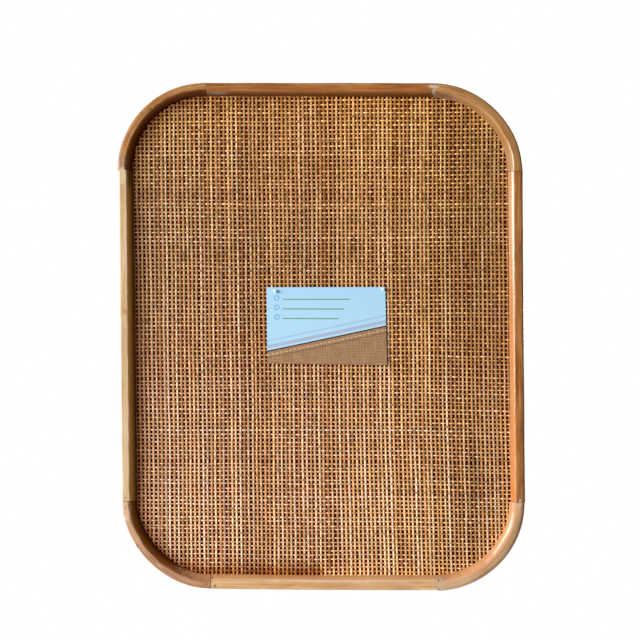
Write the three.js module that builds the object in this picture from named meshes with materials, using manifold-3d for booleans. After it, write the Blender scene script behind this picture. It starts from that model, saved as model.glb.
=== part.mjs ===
// Cane memo board: a wall-hung pin-up board in a bent-pole frame.
// Millimetres, +Z up, front towards -Y, +X to the right seen from the front.
// The origin is on the wall plane (y = 0), at the middle of the top rail's flat back.

import * as THREE from 'three';
import { mergeVertices } from 'three/addons/utils/BufferGeometryUtils.js';
import Module from 'manifold-3d';

const wasm = await Module();
wasm.setup();

// ---------------------------------------------------------------- driving dimensions
const FRAME_W = 404;          // outer width
const FRAME_H = 508;          // outer height
const POLE_W = 14;            // pole width seen from the front
const POLE_D = 18;            // pole depth from the wall plane to the front
const BEND_R = 88;            // outer radius of the bent corners
const BEND_STEPS = 12;        // steps in each quarter bend
const BUTT_GAP = 0.3;         // gap left in each butt joint

const REBATE_U = 8.5;         // rebate wall, measured inwards from the outer edge
const REBATE_Y = -11.3;       // rebate floor

const DOWEL_R = 2.0;          // hidden dowel in each butt joint
const DOWEL_L = 24;
const DOWEL_U = 4.5;
const DOWEL_Y = -9.0;
const BRAD_R = 0.6;           // brad driven from the front through pole and dowel
const BRAD_Y0 = -17.98;
const BRAD_Y1 = -8.0;
const BRAD_OFF = 5.0;         // distance of each brad from its joint
const CLEAR = 0.25;           // radial clearance round hidden pins

const BOARD_CLEAR = 0.35;     // gap between the layers' edges and the rebate wall
const WEB_Y = [-11.2, -9.0];  // woven cane panel
const CORE_Y = [-8.9, -5.9];  // core that takes the pins
const BACK_Y = [-5.8, -3.4];  // hardboard back

const TAB_W = 6;              // steel retaining point
const TAB_T = 0.5;
const TAB_U = [4.8, 17];
const TAB_Y = -3.0;
const TAB_GAP = 0.3;

const HANGER_X = 118;         // hangers left and right of the middle
const HANGER_Z = -62;         // height of the ring's bar
const STRAP_W = 9;
const STRAP_L = 9.5;
const KNUCKLE_R = [0.98, 1.45];
const BAR_Y = -1.85;
const RING_R = 0.8;           // ring wire radius
const RING_HALF = 6.8;        // half width to the middle of the wire
const RING_LEG = 10;
const RING_BEND = 1.6;
const RIVET_Z = -6.0;         // below the bar

const CARD_W = 120;
const CARD_H = 78;
const CARD_X = 5;             // middle of the card
const CARD_Z = -237;
const CARD_Y = [-11.7, -11.3];

const PIN_TILT = 40;          // degrees from straight out
const PIN_HEAD_R = 1.7;
const PIN_NEEDLE_R = 0.35;
const PIN_REACH = 8.8;        // head centre to needle tip
const PIN_HOLE_R = 0.75;
const PIN_Y = -13.55;         // head centre
const PIN_XZ = { left: [-46.9, -201.5], right: [61.6, -199.7] };

const Z_TOP = POLE_W / 2;
const Z_BOT = Z_TOP - FRAME_H;
const Z_MID = (Z_TOP + Z_BOT) / 2;
const X_OUT = FRAME_W / 2;

// ---------------------------------------------------------------- geometry helpers
const closed = (geometry) => {
  const g = geometry.clone();
  for (const name of Object.keys(g.attributes)) if (name !== 'position') g.deleteAttribute(name);
  const m = mergeVertices(g, 1e-4);
  const p = m.attributes.position;
  const index = [];
  for (let i = 0; i < m.index.count; i += 3) {
    const [a, b, c] = [m.index.getX(i), m.index.getX(i + 1), m.index.getX(i + 2)];
    if (a !== b && b !== c && c !== a) index.push(a, b, c);
  }
  let volume = 0;
  const [va, vb, vc] = [new THREE.Vector3(), new THREE.Vector3(), new THREE.Vector3()];
  for (let i = 0; i < index.length; i += 3) {
    va.fromBufferAttribute(p, index[i]);
    vb.fromBufferAttribute(p, index[i + 1]);
    vc.fromBufferAttribute(p, index[i + 2]);
    volume += va.dot(vb.cross(vc));
  }
  if (volume < 0) for (let i = 0; i < index.length; i += 3) [index[i + 1], index[i + 2]] = [index[i + 2], index[i + 1]];
  m.setIndex(index);
  return m;
};

const toSolid = (geometry) => {
  const g = closed(geometry);
  return new wasm.Manifold(new wasm.Mesh({
    numProp: 3,
    vertProperties: new Float32Array(g.attributes.position.array),
    triVerts: new Uint32Array(g.index.array),
  }));
};

const toGeometry = (solid) => {
  const mesh = solid.getMesh();
  const g = new THREE.BufferGeometry();
  const n = mesh.numProp;
  const count = mesh.vertProperties.length / n;
  const xyz = new Float32Array(count * 3);
  for (let i = 0; i < count; i++) for (let k = 0; k < 3; k++) xyz[3 * i + k] = mesh.vertProperties[n * i + k];
  g.setAttribute('position', new THREE.BufferAttribute(xyz, 3));
  g.setIndex(Array.from(mesh.triVerts));
  return g;
};

const cut = (geometry, tools) => {
  let s = toSolid(geometry);
  for (const t of tools) s = s.subtract(toSolid(t));
  return toGeometry(s);
};

// A closed section carried through a list of placings; both ends are capped, or the loop is closed.
const sweep = (outline, placings, loop = false) => {
  const flat = outline.map(([u, v]) => new THREE.Vector2(u, v));
  const section = THREE.ShapeUtils.isClockWise(flat) ? [...outline].reverse() : outline;
  const n = section.length;
  const rings = placings.length;
  const xyz = [];
  for (const place of placings) for (const [u, v] of section) xyz.push(...place(u, v));
  const index = [];
  for (let i = 0; i < (loop ? rings : rings - 1); i++) {
    const j = (i + 1) % rings;
    for (let k = 0; k < n; k++) {
      const l = (k + 1) % n;
      index.push(i * n + k, i * n + l, j * n + l, i * n + k, j * n + l, j * n + k);
    }
  }
  if (!loop) {
    const e = (rings - 1) * n;
    const faces = THREE.ShapeUtils.triangulateShape(section.map(([u, v]) => new THREE.Vector2(u, v)), []);
    for (const [a, b, c] of faces) index.push(a, c, b, e + a, e + b, e + c);
  }
  const g = new THREE.BufferGeometry();
  g.setAttribute('position', new THREE.Float32BufferAttribute(xyz, 3));
  g.setIndex(index);
  return g;
};

const box = (x0, x1, y0, y1, z0, z1) =>
  new THREE.BoxGeometry(x1 - x0, y1 - y0, z1 - z0).translate((x0 + x1) / 2, (y0 + y1) / 2, (z0 + z1) / 2);

// A round bar from point a to point b.
const rod = (a, b, r, sides = 12) => {
  const from = new THREE.Vector3(...a);
  const to = new THREE.Vector3(...b);
  const d = to.clone().sub(from);
  const g = new THREE.CylinderGeometry(r, r, d.length(), sides);
  g.applyQuaternion(new THREE.Quaternion().setFromUnitVectors(new THREE.Vector3(0, 1, 0), d.clone().normalize()));
  const m = from.add(to).multiplyScalar(0.5);
  return g.translate(m.x, m.y, m.z);
};

// A slab with rounded corners in the XZ plane between two depths.
const slab = (halfW, halfH, r, [y0, y1]) => {
  const s = new THREE.Shape();
  s.moveTo(halfW - r, -halfH);
  s.absarc(halfW - r, -halfH + r, r, -Math.PI / 2, 0, false);
  s.absarc(halfW - r, halfH - r, r, 0, Math.PI / 2, false);
  s.absarc(-halfW + r, halfH - r, r, Math.PI / 2, Math.PI, false);
  s.absarc(-halfW + r, -halfH + r, r, Math.PI, 1.5 * Math.PI, false);
  const g = new THREE.ExtrudeGeometry(s, { depth: y1 - y0, bevelEnabled: false, curveSegments: BEND_STEPS });
  g.rotateX(Math.PI / 2);
  return g.translate(0, y1, Z_MID);
};

// ---------------------------------------------------------------- materials
const mat = (color, roughness, metalness = 0) => new THREE.MeshStandardMaterial({ color, roughness, metalness });
const WOOD = {
  pale: mat(0xdcbb8c, 0.45), blond: mat(0xd4ab75, 0.45), tan: mat(0xb5875a, 0.42),
  brown: mat(0xa06f40, 0.42), orange: mat(0xa7682f, 0.4),
};
const DOWEL_WOOD = mat(0xc9a878, 0.7);
const CANE = mat(0xc4955a, 0.5);
const CORE = mat(0x42200f, 0.95);
const HARDBOARD = mat(0x6e4a2e, 0.85);
const STEEL = mat(0xb4b6b8, 0.35, 1);
const BRASS = mat(0xb9974e, 0.35, 1);
const CARD = mat(0xb5e0fb, 0.55);
const PEARL = mat(0xe4eef4, 0.25);

const group = new THREE.Group();
const add = (name, geometry, material) => {
  const m = new THREE.Mesh(closed(geometry), material);
  m.name = name;
  group.add(m);
  return m;
};

// ---------------------------------------------------------------- pole section
// u runs inwards from the outer edge, y from the wall plane to the front.
const POLE_SECTION = (() => {
  const p = [[0.8, 0], [0, -0.8], [0, -15.8]];
  for (let i = 1; i <= 6; i++) {
    const t = (i * 15 * Math.PI) / 180;
    p.push([2.2 - 2.2 * Math.cos(t), -15.8 - 2.2 * Math.sin(t)]);
  }
  p.push([7.2, -POLE_D], [7.8, -17.85], [8.3, -17.45]);
  p.push([13.2, -12.55], [13.75, -11.95]);
  p.push([POLE_W, REBATE_Y], [REBATE_U, REBATE_Y], [REBATE_U, 0]);
  return p;
})();

// Each side of the frame: a point on the outer edge at distance s along it, and the inward direction.
const straightX = X_OUT - BEND_R;
const straightZ = FRAME_H / 2 - BEND_R;
const SIDES = {
  top: { at: (s) => [s, Z_TOP], inward: [0, -1], half: straightX },
  bottom: { at: (s) => [s, Z_BOT], inward: [0, 1], half: straightX },
  left: { at: (s) => [-X_OUT, Z_MID + s], inward: [1, 0], half: straightZ },
  right: { at: (s) => [X_OUT, Z_MID + s], inward: [-1, 0], half: straightZ },
};
const onSide = (side, s, u, y) => {
  const [x, z] = side.at(s);
  return [x + side.inward[0] * u, y, z + side.inward[1] * u];
};

const CORNERS = {
  top_left: { c: [-straightX, Z_MID + straightZ], a0: 90, ends: [['top', -1], ['left', 1]] },
  top_right: { c: [straightX, Z_MID + straightZ], a0: 0, ends: [['right', 1], ['top', 1]] },
  bottom_left: { c: [-straightX, Z_MID - straightZ], a0: 180, ends: [['left', -1], ['bottom', -1]] },
  bottom_right: { c: [straightX, Z_MID - straightZ], a0: 270, ends: [['bottom', 1], ['right', -1]] },
};

// Every butt joint: a side, and the end of that side where a bent corner meets it.
const JOINTS = [];
for (const [corner, def] of Object.entries(CORNERS))
  for (const [side, end] of def.ends) JOINTS.push({ corner, side, end, name: `${corner}_${side}` });

const jointPoint = (j, along, u, y) => {
  const side = SIDES[j.side];
  return onSide(side, j.end * (side.half + along), u, y);
};
const dowelHole = (j) => rod(
  jointPoint(j, -DOWEL_L / 2 - 0.5, DOWEL_U, DOWEL_Y), jointPoint(j, DOWEL_L / 2 + 0.5, DOWEL_U, DOWEL_Y), DOWEL_R + CLEAR);
const bradHole = (j, off) => rod(
  jointPoint(j, off, DOWEL_U, -POLE_D - 2), jointPoint(j, off, DOWEL_U, BRAD_Y1 + 0.3), BRAD_R + CLEAR, 8);

// Retaining points, by side and distance from the side's middle.
const TABS = [];
for (const s of [-62, 62]) { TABS.push(['top', s]); TABS.push(['bottom', s]); }
for (const s of [-112, 0, 112]) { TABS.push(['left', s]); TABS.push(['right', s]); }

const tabShape = (sideName, s, grow) => {
  const side = SIDES[sideName];
  const w = TAB_W / 2 + grow;
  const u0 = TAB_U[0] - grow;
  const outline = grow > 0
    ? [[u0, -w], [TAB_U[1], -w], [TAB_U[1], w], [u0, w]]
    : [[u0, -0.8], [u0 + 2.4, -w], [TAB_U[1] - 0.8, -w], [TAB_U[1], -w + 0.8], [TAB_U[1], w - 0.8], [TAB_U[1] - 0.8, w], [u0 + 2.4, w], [u0, 0.8]];
  const t = TAB_T / 2 + grow;
  return sweep(outline, [-t, t].map((dy) => (u, v) => onSide(side, s + v, u, TAB_Y + dy)));
};

// ---------------------------------------------------------------- frame
const sideMaterial = { top: WOOD.orange, bottom: WOOD.blond, left: WOOD.pale, right: WOOD.orange };
const sideName = { top: 'top_rail', bottom: 'bottom_rail', left: 'left_stile', right: 'right_stile' };
for (const [key, side] of Object.entries(SIDES)) {
  const l = side.half - BUTT_GAP / 2;
  const pole = sweep(POLE_SECTION, [-l, l].map((s) => (u, y) => onSide(side, s, u, y)));
  const tools = [];
  for (const j of JOINTS) if (j.side === key) { tools.push(dowelHole(j)); tools.push(bradHole(j, -BRAD_OFF)); }
  for (const [t, s] of TABS) if (t === key) tools.push(tabShape(t, s, TAB_GAP));
  add(sideName[key], cut(pole, tools), sideMaterial[key]);
}

const cornerMaterial = { top_left: WOOD.brown, top_right: WOOD.tan, bottom_left: WOOD.tan, bottom_right: WOOD.tan };
for (const [corner, { c, a0 }] of Object.entries(CORNERS)) {
  const trim = (BUTT_GAP / 2 / BEND_R) * (180 / Math.PI) * 1.25;
  const placings = [];
  for (let i = 0; i <= BEND_STEPS; i++) {
    let a = a0 + (90 * i) / BEND_STEPS;
    if (i === 0) a += trim;
    if (i === BEND_STEPS) a -= trim;
    const [ca, sa] = [Math.cos((a * Math.PI) / 180), Math.sin((a * Math.PI) / 180)];
    placings.push((u, y) => [c[0] + (BEND_R - u) * ca, y, c[1] + (BEND_R - u) * sa]);
  }
  const tools = [];
  for (const j of JOINTS) if (j.corner === corner) { tools.push(dowelHole(j)); tools.push(bradHole(j, BRAD_OFF)); }
  add(`corner_${corner}`, cut(sweep(POLE_SECTION, placings), tools), cornerMaterial[corner]);
}

for (const j of JOINTS) {
  const dowel = rod(jointPoint(j, -DOWEL_L / 2, DOWEL_U, DOWEL_Y), jointPoint(j, DOWEL_L / 2, DOWEL_U, DOWEL_Y), DOWEL_R);
  add(`dowel_${j.name}`, cut(dowel, [bradHole(j, -BRAD_OFF), bradHole(j, BRAD_OFF)]), DOWEL_WOOD);
  for (const [off, where] of [[-BRAD_OFF, 'a'], [BRAD_OFF, 'b']])
    add(`brad_${j.name}_${where}`, rod(jointPoint(j, off, DOWEL_U, BRAD_Y0), jointPoint(j, off, DOWEL_U, BRAD_Y1), BRAD_R, 8), STEEL);
}

// ---------------------------------------------------------------- layers in the rebate
const layerW = X_OUT - REBATE_U - BOARD_CLEAR;
const layerH = FRAME_H / 2 - REBATE_U - BOARD_CLEAR;
const layerR = BEND_R - REBATE_U - BOARD_CLEAR;
const tilt = (PIN_TILT * Math.PI) / 180;
const pinAt = ([x, z], s) => [x, PIN_Y + s * Math.cos(tilt), z - s * Math.sin(tilt)];
const pinHole = (xz, s1) => rod(pinAt(xz, -2), pinAt(xz, s1), PIN_HOLE_R, 8);
const bothPins = (s1) => Object.values(PIN_XZ).map((xz) => pinHole(xz, s1));

add('cane_webbing', cut(slab(layerW, layerH, layerR, WEB_Y), bothPins(12)), CANE);
add('pin_core', cut(slab(layerW, layerH, layerR, CORE_Y), bothPins(PIN_REACH + 0.25)), CORE);

const hangerX = { left: -HANGER_X, right: HANGER_X };
const rivetTools = [];
for (const x of Object.values(hangerX)) {
  const z = HANGER_Z + RIVET_Z;
  rivetTools.push(rod([x, BACK_Y[0] - 1, z], [x, BACK_Y[1] + 1, z], 1.75));
  rivetTools.push(rod([x, BACK_Y[0] - 1, z], [x, BACK_Y[0] + 0.9, z], 2.6));
}
add('back_panel', cut(slab(layerW, layerH, layerR, BACK_Y), rivetTools), HARDBOARD);

TABS.forEach(([side, s]) => {
  const tag = s === 0 ? 'middle' : s > 0 ? (side === 'left' || side === 'right' ? 'upper' : 'right') : side === 'left' || side === 'right' ? 'lower' : 'left';
  add(`retainer_${side}_${tag}`, tabShape(side, s, 0), STEEL);
});

// ---------------------------------------------------------------- hangers
for (const [hand, x] of Object.entries(hangerX)) {
  // strap: a plate rolled round the ring's bar, in section (y, z), carried across its width
  const [ri, ro] = KNUCKLE_R;
  const profile = [[BAR_Y - ro, -STRAP_L], [BAR_Y - ro, 0]];
  const curl = (280 * Math.PI) / 180;
  for (let i = 1; i <= 14; i++) {
    const f = (curl * i) / 14;
    profile.push([BAR_Y - ro * Math.cos(f), ro * Math.sin(f)]);
  }
  for (let i = 14; i >= 0; i--) {
    const f = (curl * i) / 14;
    profile.push([BAR_Y - ri * Math.cos(f), ri * Math.sin(f)]);
  }
  profile.push([BAR_Y - ri, -STRAP_L]);
  const strap = sweep(profile, [-STRAP_W / 2, STRAP_W / 2].map((dx) => (y, z) => [x + dx, y, HANGER_Z + z]));
  const rz = HANGER_Z + RIVET_Z;
  const snip = (sx) => sweep([[0, 0], [2.4, 0], [0, 2.4]], [-4, -2].map((y) => (u, v) => [
    x + sx * (STRAP_W / 2 + 0.2 - u), y, HANGER_Z - STRAP_L - 0.2 + v]));
  add(`hanger_strap_${hand}`, cut(strap, [rod([x, -4, rz], [x, -2, rz], 1.75), snip(-1), snip(1)]), STEEL);

  // ring: a closed loop of round wire hanging from its straight bar
  const path = [];
  const arc = (cx, cz, r, a0, a1, n) => {
    for (let i = 0; i <= n; i++) {
      const a = ((a0 + ((a1 - a0) * i) / n) * Math.PI) / 180;
      path.push([cx + r * Math.cos(a), cz + r * Math.sin(a), Math.cos(a), Math.sin(a)]);
    }
  };
  arc(RING_HALF - RING_BEND, -RING_BEND, RING_BEND, 90, 0, 4);
  arc(0, -RING_LEG, RING_HALF, 0, -180, 14);
  arc(-RING_HALF + RING_BEND, -RING_BEND, RING_BEND, 180, 90, 4);
  const round = [];
  for (let i = 0; i < 10; i++) round.push([RING_R * Math.cos((i * Math.PI) / 5), RING_R * Math.sin((i * Math.PI) / 5)]);
  const ring = sweep(round, path.map(([px, pz, nx, nz]) => (a, b) => [x + px + a * nx, BAR_Y + b, HANGER_Z + pz + a * nz]), true);
  add(`hanger_ring_${hand}`, ring, STEEL);

  // rivet: domed head behind the strap, shank through the hardboard, clinched in front
  const head = BAR_Y - ri + 0.05;
  const pts = [[0, BACK_Y[0] + 0.1], [2.1, BACK_Y[0] + 0.1], [2.2, BACK_Y[0] + 0.3], [1.4, BACK_Y[0] + 0.75], [1.4, head],
    [2.5, head], [2.5, head + 0.25], [1.9, head + 0.6], [1.0, head + 0.78], [0, head + 0.82]];
  const rivet = new THREE.LatheGeometry(pts.map(([r, h]) => new THREE.Vector2(r, h)), 14);
  add(`hanger_rivet_${hand}`, rivet.translate(x, 0, rz), BRASS);
}

// ---------------------------------------------------------------- card and pins
add('memo_card', cut(box(CARD_X - CARD_W / 2, CARD_X + CARD_W / 2, CARD_Y[0], CARD_Y[1], CARD_Z - CARD_H / 2, CARD_Z + CARD_H / 2), bothPins(12)), CARD);

for (const [hand, [x, z]] of Object.entries(PIN_XZ)) {
  // both pieces are turned on the pin's own line, which points from the head to the tip
  const turn = new THREE.Quaternion().setFromUnitVectors(new THREE.Vector3(0, 1, 0), new THREE.Vector3(0, Math.cos(tilt), -Math.sin(tilt)));
  const R = PIN_HEAD_R;
  const socket = 0.62;
  const mouth = Math.sqrt(R * R - socket * socket);
  const ball = [[0, -0.4], [socket, -0.4], [socket, mouth]];
  const start = Math.asin(socket / R);
  for (let i = 1; i <= 9; i++) {
    const a = start + ((Math.PI - start) * i) / 9;
    ball.push([i === 9 ? 0 : R * Math.sin(a), R * Math.cos(a)]);
  }
  const headGeometry = new THREE.LatheGeometry(ball.map(([r, h]) => new THREE.Vector2(r, h)), 16);
  headGeometry.applyQuaternion(turn).translate(x, PIN_Y, z);
  add(`pin_head_${hand}`, headGeometry, PEARL);
  const needle = [[0, -0.1], [PIN_NEEDLE_R, -0.1], [PIN_NEEDLE_R, PIN_REACH - 1.6], [0, PIN_REACH]];
  const needleGeometry = new THREE.LatheGeometry(needle.map(([r, h]) => new THREE.Vector2(r, h)), 10);
  needleGeometry.applyQuaternion(turn).translate(x, PIN_Y, z);
  add(`pin_needle_${hand}`, needleGeometry, STEEL);
}

export default group;
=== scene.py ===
import math

import bpy
import numpy as np
from mathutils import Matrix, Vector, noise


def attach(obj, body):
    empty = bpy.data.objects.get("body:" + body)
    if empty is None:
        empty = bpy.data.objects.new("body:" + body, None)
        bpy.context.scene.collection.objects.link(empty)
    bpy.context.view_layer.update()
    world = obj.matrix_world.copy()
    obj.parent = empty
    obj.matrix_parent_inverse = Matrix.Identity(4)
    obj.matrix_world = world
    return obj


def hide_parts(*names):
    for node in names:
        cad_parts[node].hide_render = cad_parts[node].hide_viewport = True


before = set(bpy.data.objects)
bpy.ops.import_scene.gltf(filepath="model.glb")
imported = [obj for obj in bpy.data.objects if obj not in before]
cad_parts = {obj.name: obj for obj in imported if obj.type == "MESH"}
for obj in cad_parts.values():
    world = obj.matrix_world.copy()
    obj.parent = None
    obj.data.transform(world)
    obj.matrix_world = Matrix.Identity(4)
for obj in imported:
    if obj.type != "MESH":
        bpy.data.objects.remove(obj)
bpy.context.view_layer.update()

MM = 0.001

# ------------------------------------------------------------------ sizes, in millimetres, as in the solid model
FRAME_W, FRAME_H = 404.0, 508.0
POLE_W, POLE_D, BEND_R = 14.0, 18.0, 88.0
REBATE_U, REBATE_Y = 8.5, -11.3
BUTT_SEEN = 0.06  # what is left of a butt joint once it is pulled up tight
Z_TOP = POLE_W / 2
Z_BOT = Z_TOP - FRAME_H
Z_MID = (Z_TOP + Z_BOT) / 2
X_OUT = FRAME_W / 2
STRAIGHT_X = X_OUT - BEND_R
STRAIGHT_Z = FRAME_H / 2 - BEND_R

# ------------------------------------------------------------------ camera
# Straight on, with the board's middle a little below the middle of a 640 by 640 picture.
PX_PER_MM = 0.9968
LENS, SENSOR = 70.0, 36.0
distance = 640 / PX_PER_MM * LENS / SENSOR
cam_data = bpy.data.cameras.new("camera")
cam_data.lens, cam_data.sensor_width = LENS, SENSOR
cam_data.clip_start, cam_data.clip_end = 0.01, 100
cam = bpy.data.objects.new("camera", cam_data)
cam.location = (-2.2 * MM, -(15.5 + distance) * MM, (Z_MID + 16.2) * MM)
roll = math.radians(0.167)
cam.rotation_euler = Matrix(((math.cos(roll), math.sin(roll), 0), (0, 0, -1), (-math.sin(roll), math.cos(roll), 0))).to_euler()
bpy.context.scene.collection.objects.link(cam)
bpy.context.scene.camera = cam
bpy.context.scene.view_settings.view_transform = "Standard"


# ------------------------------------------------------------------ colour and node helpers
def lin(hex_colour, k=1.0):
    h = hex_colour.lstrip("#")
    out = []
    for i in (0, 2, 4):
        c = int(h[i:i + 2], 16) / 255
        c = c / 12.92 if c <= 0.04045 else ((c + 0.055) / 1.055) ** 2.4
        out.append(min(1.0, c * k))
    return (*out, 1.0)


class Graph:
    """A material's node tree with short calls for the nodes used below."""

    def __init__(self, name):
        self.mat = bpy.data.materials.new(name)
        self.mat.use_nodes = True
        self.t = self.mat.node_tree
        self.t.nodes.clear()
        self.out = self.t.nodes.new("ShaderNodeOutputMaterial")
        self.bsdf = self.t.nodes.new("ShaderNodeBsdfPrincipled")
        self.t.links.new(self.bsdf.outputs[0], self.out.inputs[0])

    def node(self, kind, **props):
        n = self.t.nodes.new(kind)
        for k, v in props.items():
            setattr(n, k, v)
        return n

    def put(self, socket, value):
        if isinstance(value, bpy.types.NodeSocket):
            self.t.links.new(value, socket)
        elif value is not None:
            socket.default_value = value

    def set(self, name, value):
        self.put(self.bsdf.inputs[name], value)

    def math(self, op, a, b=None, c=None, clamp=False):
        n = self.node("ShaderNodeMath", operation=op, use_clamp=clamp)
        for i, v in enumerate((a, b, c)):
            self.put(n.inputs[i], v)
        return n.outputs[0]

    def mix(self, fac, a, b, blend="MIX"):
        n = self.node("ShaderNodeMix", data_type="RGBA", blend_type=blend)
        self.put(n.inputs[0], fac)
        self.put(n.inputs[6], a)
        self.put(n.inputs[7], b)
        return n.outputs[2]

    def ramp(self, fac, stops, mode="LINEAR"):
        n = self.node("ShaderNodeValToRGB")
        n.color_ramp.interpolation = mode
        while len(n.color_ramp.elements) < len(stops):
            n.color_ramp.elements.new(0.5)
        for e, (p, c) in zip(n.color_ramp.elements, stops):
            e.position = p
            e.color = c if isinstance(c, tuple) else (c, c, c, 1)
        self.put(n.inputs[0], fac)
        return n.outputs[0]

    def step(self, x, a, b):
        """0 at a to 1 at b, smoothly."""
        n = self.node("ShaderNodeMapRange", interpolation_type="SMOOTHSTEP")
        self.put(n.inputs[0], x)
        n.inputs[1].default_value, n.inputs[2].default_value = a, b
        n.inputs[3].default_value, n.inputs[4].default_value = 0.0, 1.0
        return n.outputs[0]

    def noise(self, vector, scale=1.0, detail=3.0, rough=0.55, distortion=0.0, dims="3D"):
        n = self.node("ShaderNodeTexNoise", noise_dimensions=dims)
        self.put(n.inputs["Vector"], vector)
        n.inputs["Scale"].default_value = scale
        n.inputs["Detail"].default_value = detail
        n.inputs["Roughness"].default_value = rough
        n.inputs["Distortion"].default_value = distortion
        return n.outputs[0]

    def mapped(self, vector, scale=(1, 1, 1), offset=(0, 0, 0), turn=(0, 0, 0)):
        n = self.node("ShaderNodeMapping")
        self.put(n.inputs[0], vector)
        n.inputs["Location"].default_value = offset
        n.inputs["Rotation"].default_value = turn
        n.inputs["Scale"].default_value = scale
        return n.outputs[0]

    def uv(self, name):
        return self.node("ShaderNodeUVMap", uv_map=name).outputs[0]

    def attr(self, name, colour=False):
        n = self.node("ShaderNodeAttribute", attribute_name=name)
        return n.outputs["Color" if colour else "Fac"]

    def position(self):
        return self.node("ShaderNodeTexCoord").outputs["Object"]

    def bump(self, height, strength=0.5, distance=0.0002):
        n = self.node("ShaderNodeBump")
        n.inputs["Strength"].default_value = strength
        n.inputs["Distance"].default_value = distance
        self.put(n.inputs["Height"], height)
        self.put(self.bsdf.inputs["Normal"], n.outputs[0])


# ------------------------------------------------------------------ mesh helpers
def build(name, verts, faces, smooth=True):
    me = bpy.data.meshes.new(name)
    me.from_pydata([tuple(v) for v in verts], [], faces)
    me.update()
    if smooth:
        me.polygons.foreach_set("use_smooth", np.ones(len(me.polygons), bool))
    ob = bpy.data.objects.new(name, me)
    bpy.context.scene.collection.objects.link(ob)
    return ob


def float_attr(ob, name, values):
    a = ob.data.attributes.new(name, "FLOAT", "POINT")
    a.data.foreach_set("value", np.asarray(values, np.float32))


def place(ob, body, material, slot, *nodes):
    ob.data.materials.append(material)
    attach(ob, body)
    if nodes:
        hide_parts(*nodes)
    return ob


def lathe(name, profile, origin, axis, sides=40):
    """A closed turned piece: profile is (radius, distance along axis) from axis to axis, in millimetres."""
    axis = Vector(axis).normalized()
    side = axis.orthogonal().normalized()
    up = axis.cross(side)
    verts, faces, rings = [], [], []
    for r, h in profile:
        if r < 1e-6:
            rings.append([len(verts)])
            verts.append((Vector(origin) + axis * h) * MM)
        else:
            rings.append(list(range(len(verts), len(verts) + sides)))
            for k in range(sides):
                a = 2 * math.pi * k / sides
                verts.append((Vector(origin) + axis * h + (side * math.cos(a) + up * math.sin(a)) * r) * MM)
    for a, b in zip(rings, rings[1:]):
        for k in range(sides):
            l = (k + 1) % sides
            if len(a) == 1:
                faces.append((a[0], b[l], b[k]))
            elif len(b) == 1:
                faces.append((a[k], a[l], b[0]))
            else:
                faces.append((a[k], a[l], b[l], b[k]))
    ob = build(name, verts, faces)
    outward(ob)
    return ob


def outward(ob):
    """Turns the faces of a closed mesh outwards."""
    me = ob.data
    me.calc_loop_triangles()
    co = np.zeros(len(me.vertices) * 3)
    me.vertices.foreach_get("co", co)
    co = co.reshape(-1, 3)
    tri = np.zeros(len(me.loop_triangles) * 3, np.int32)
    me.loop_triangles.foreach_get("vertices", tri)
    a, b, c = (co[tri.reshape(-1, 3)[:, i]] for i in range(3))
    if np.einsum("ij,ij->i", a, np.cross(b, c)).sum() < 0:
        me.flip_normals()


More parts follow.
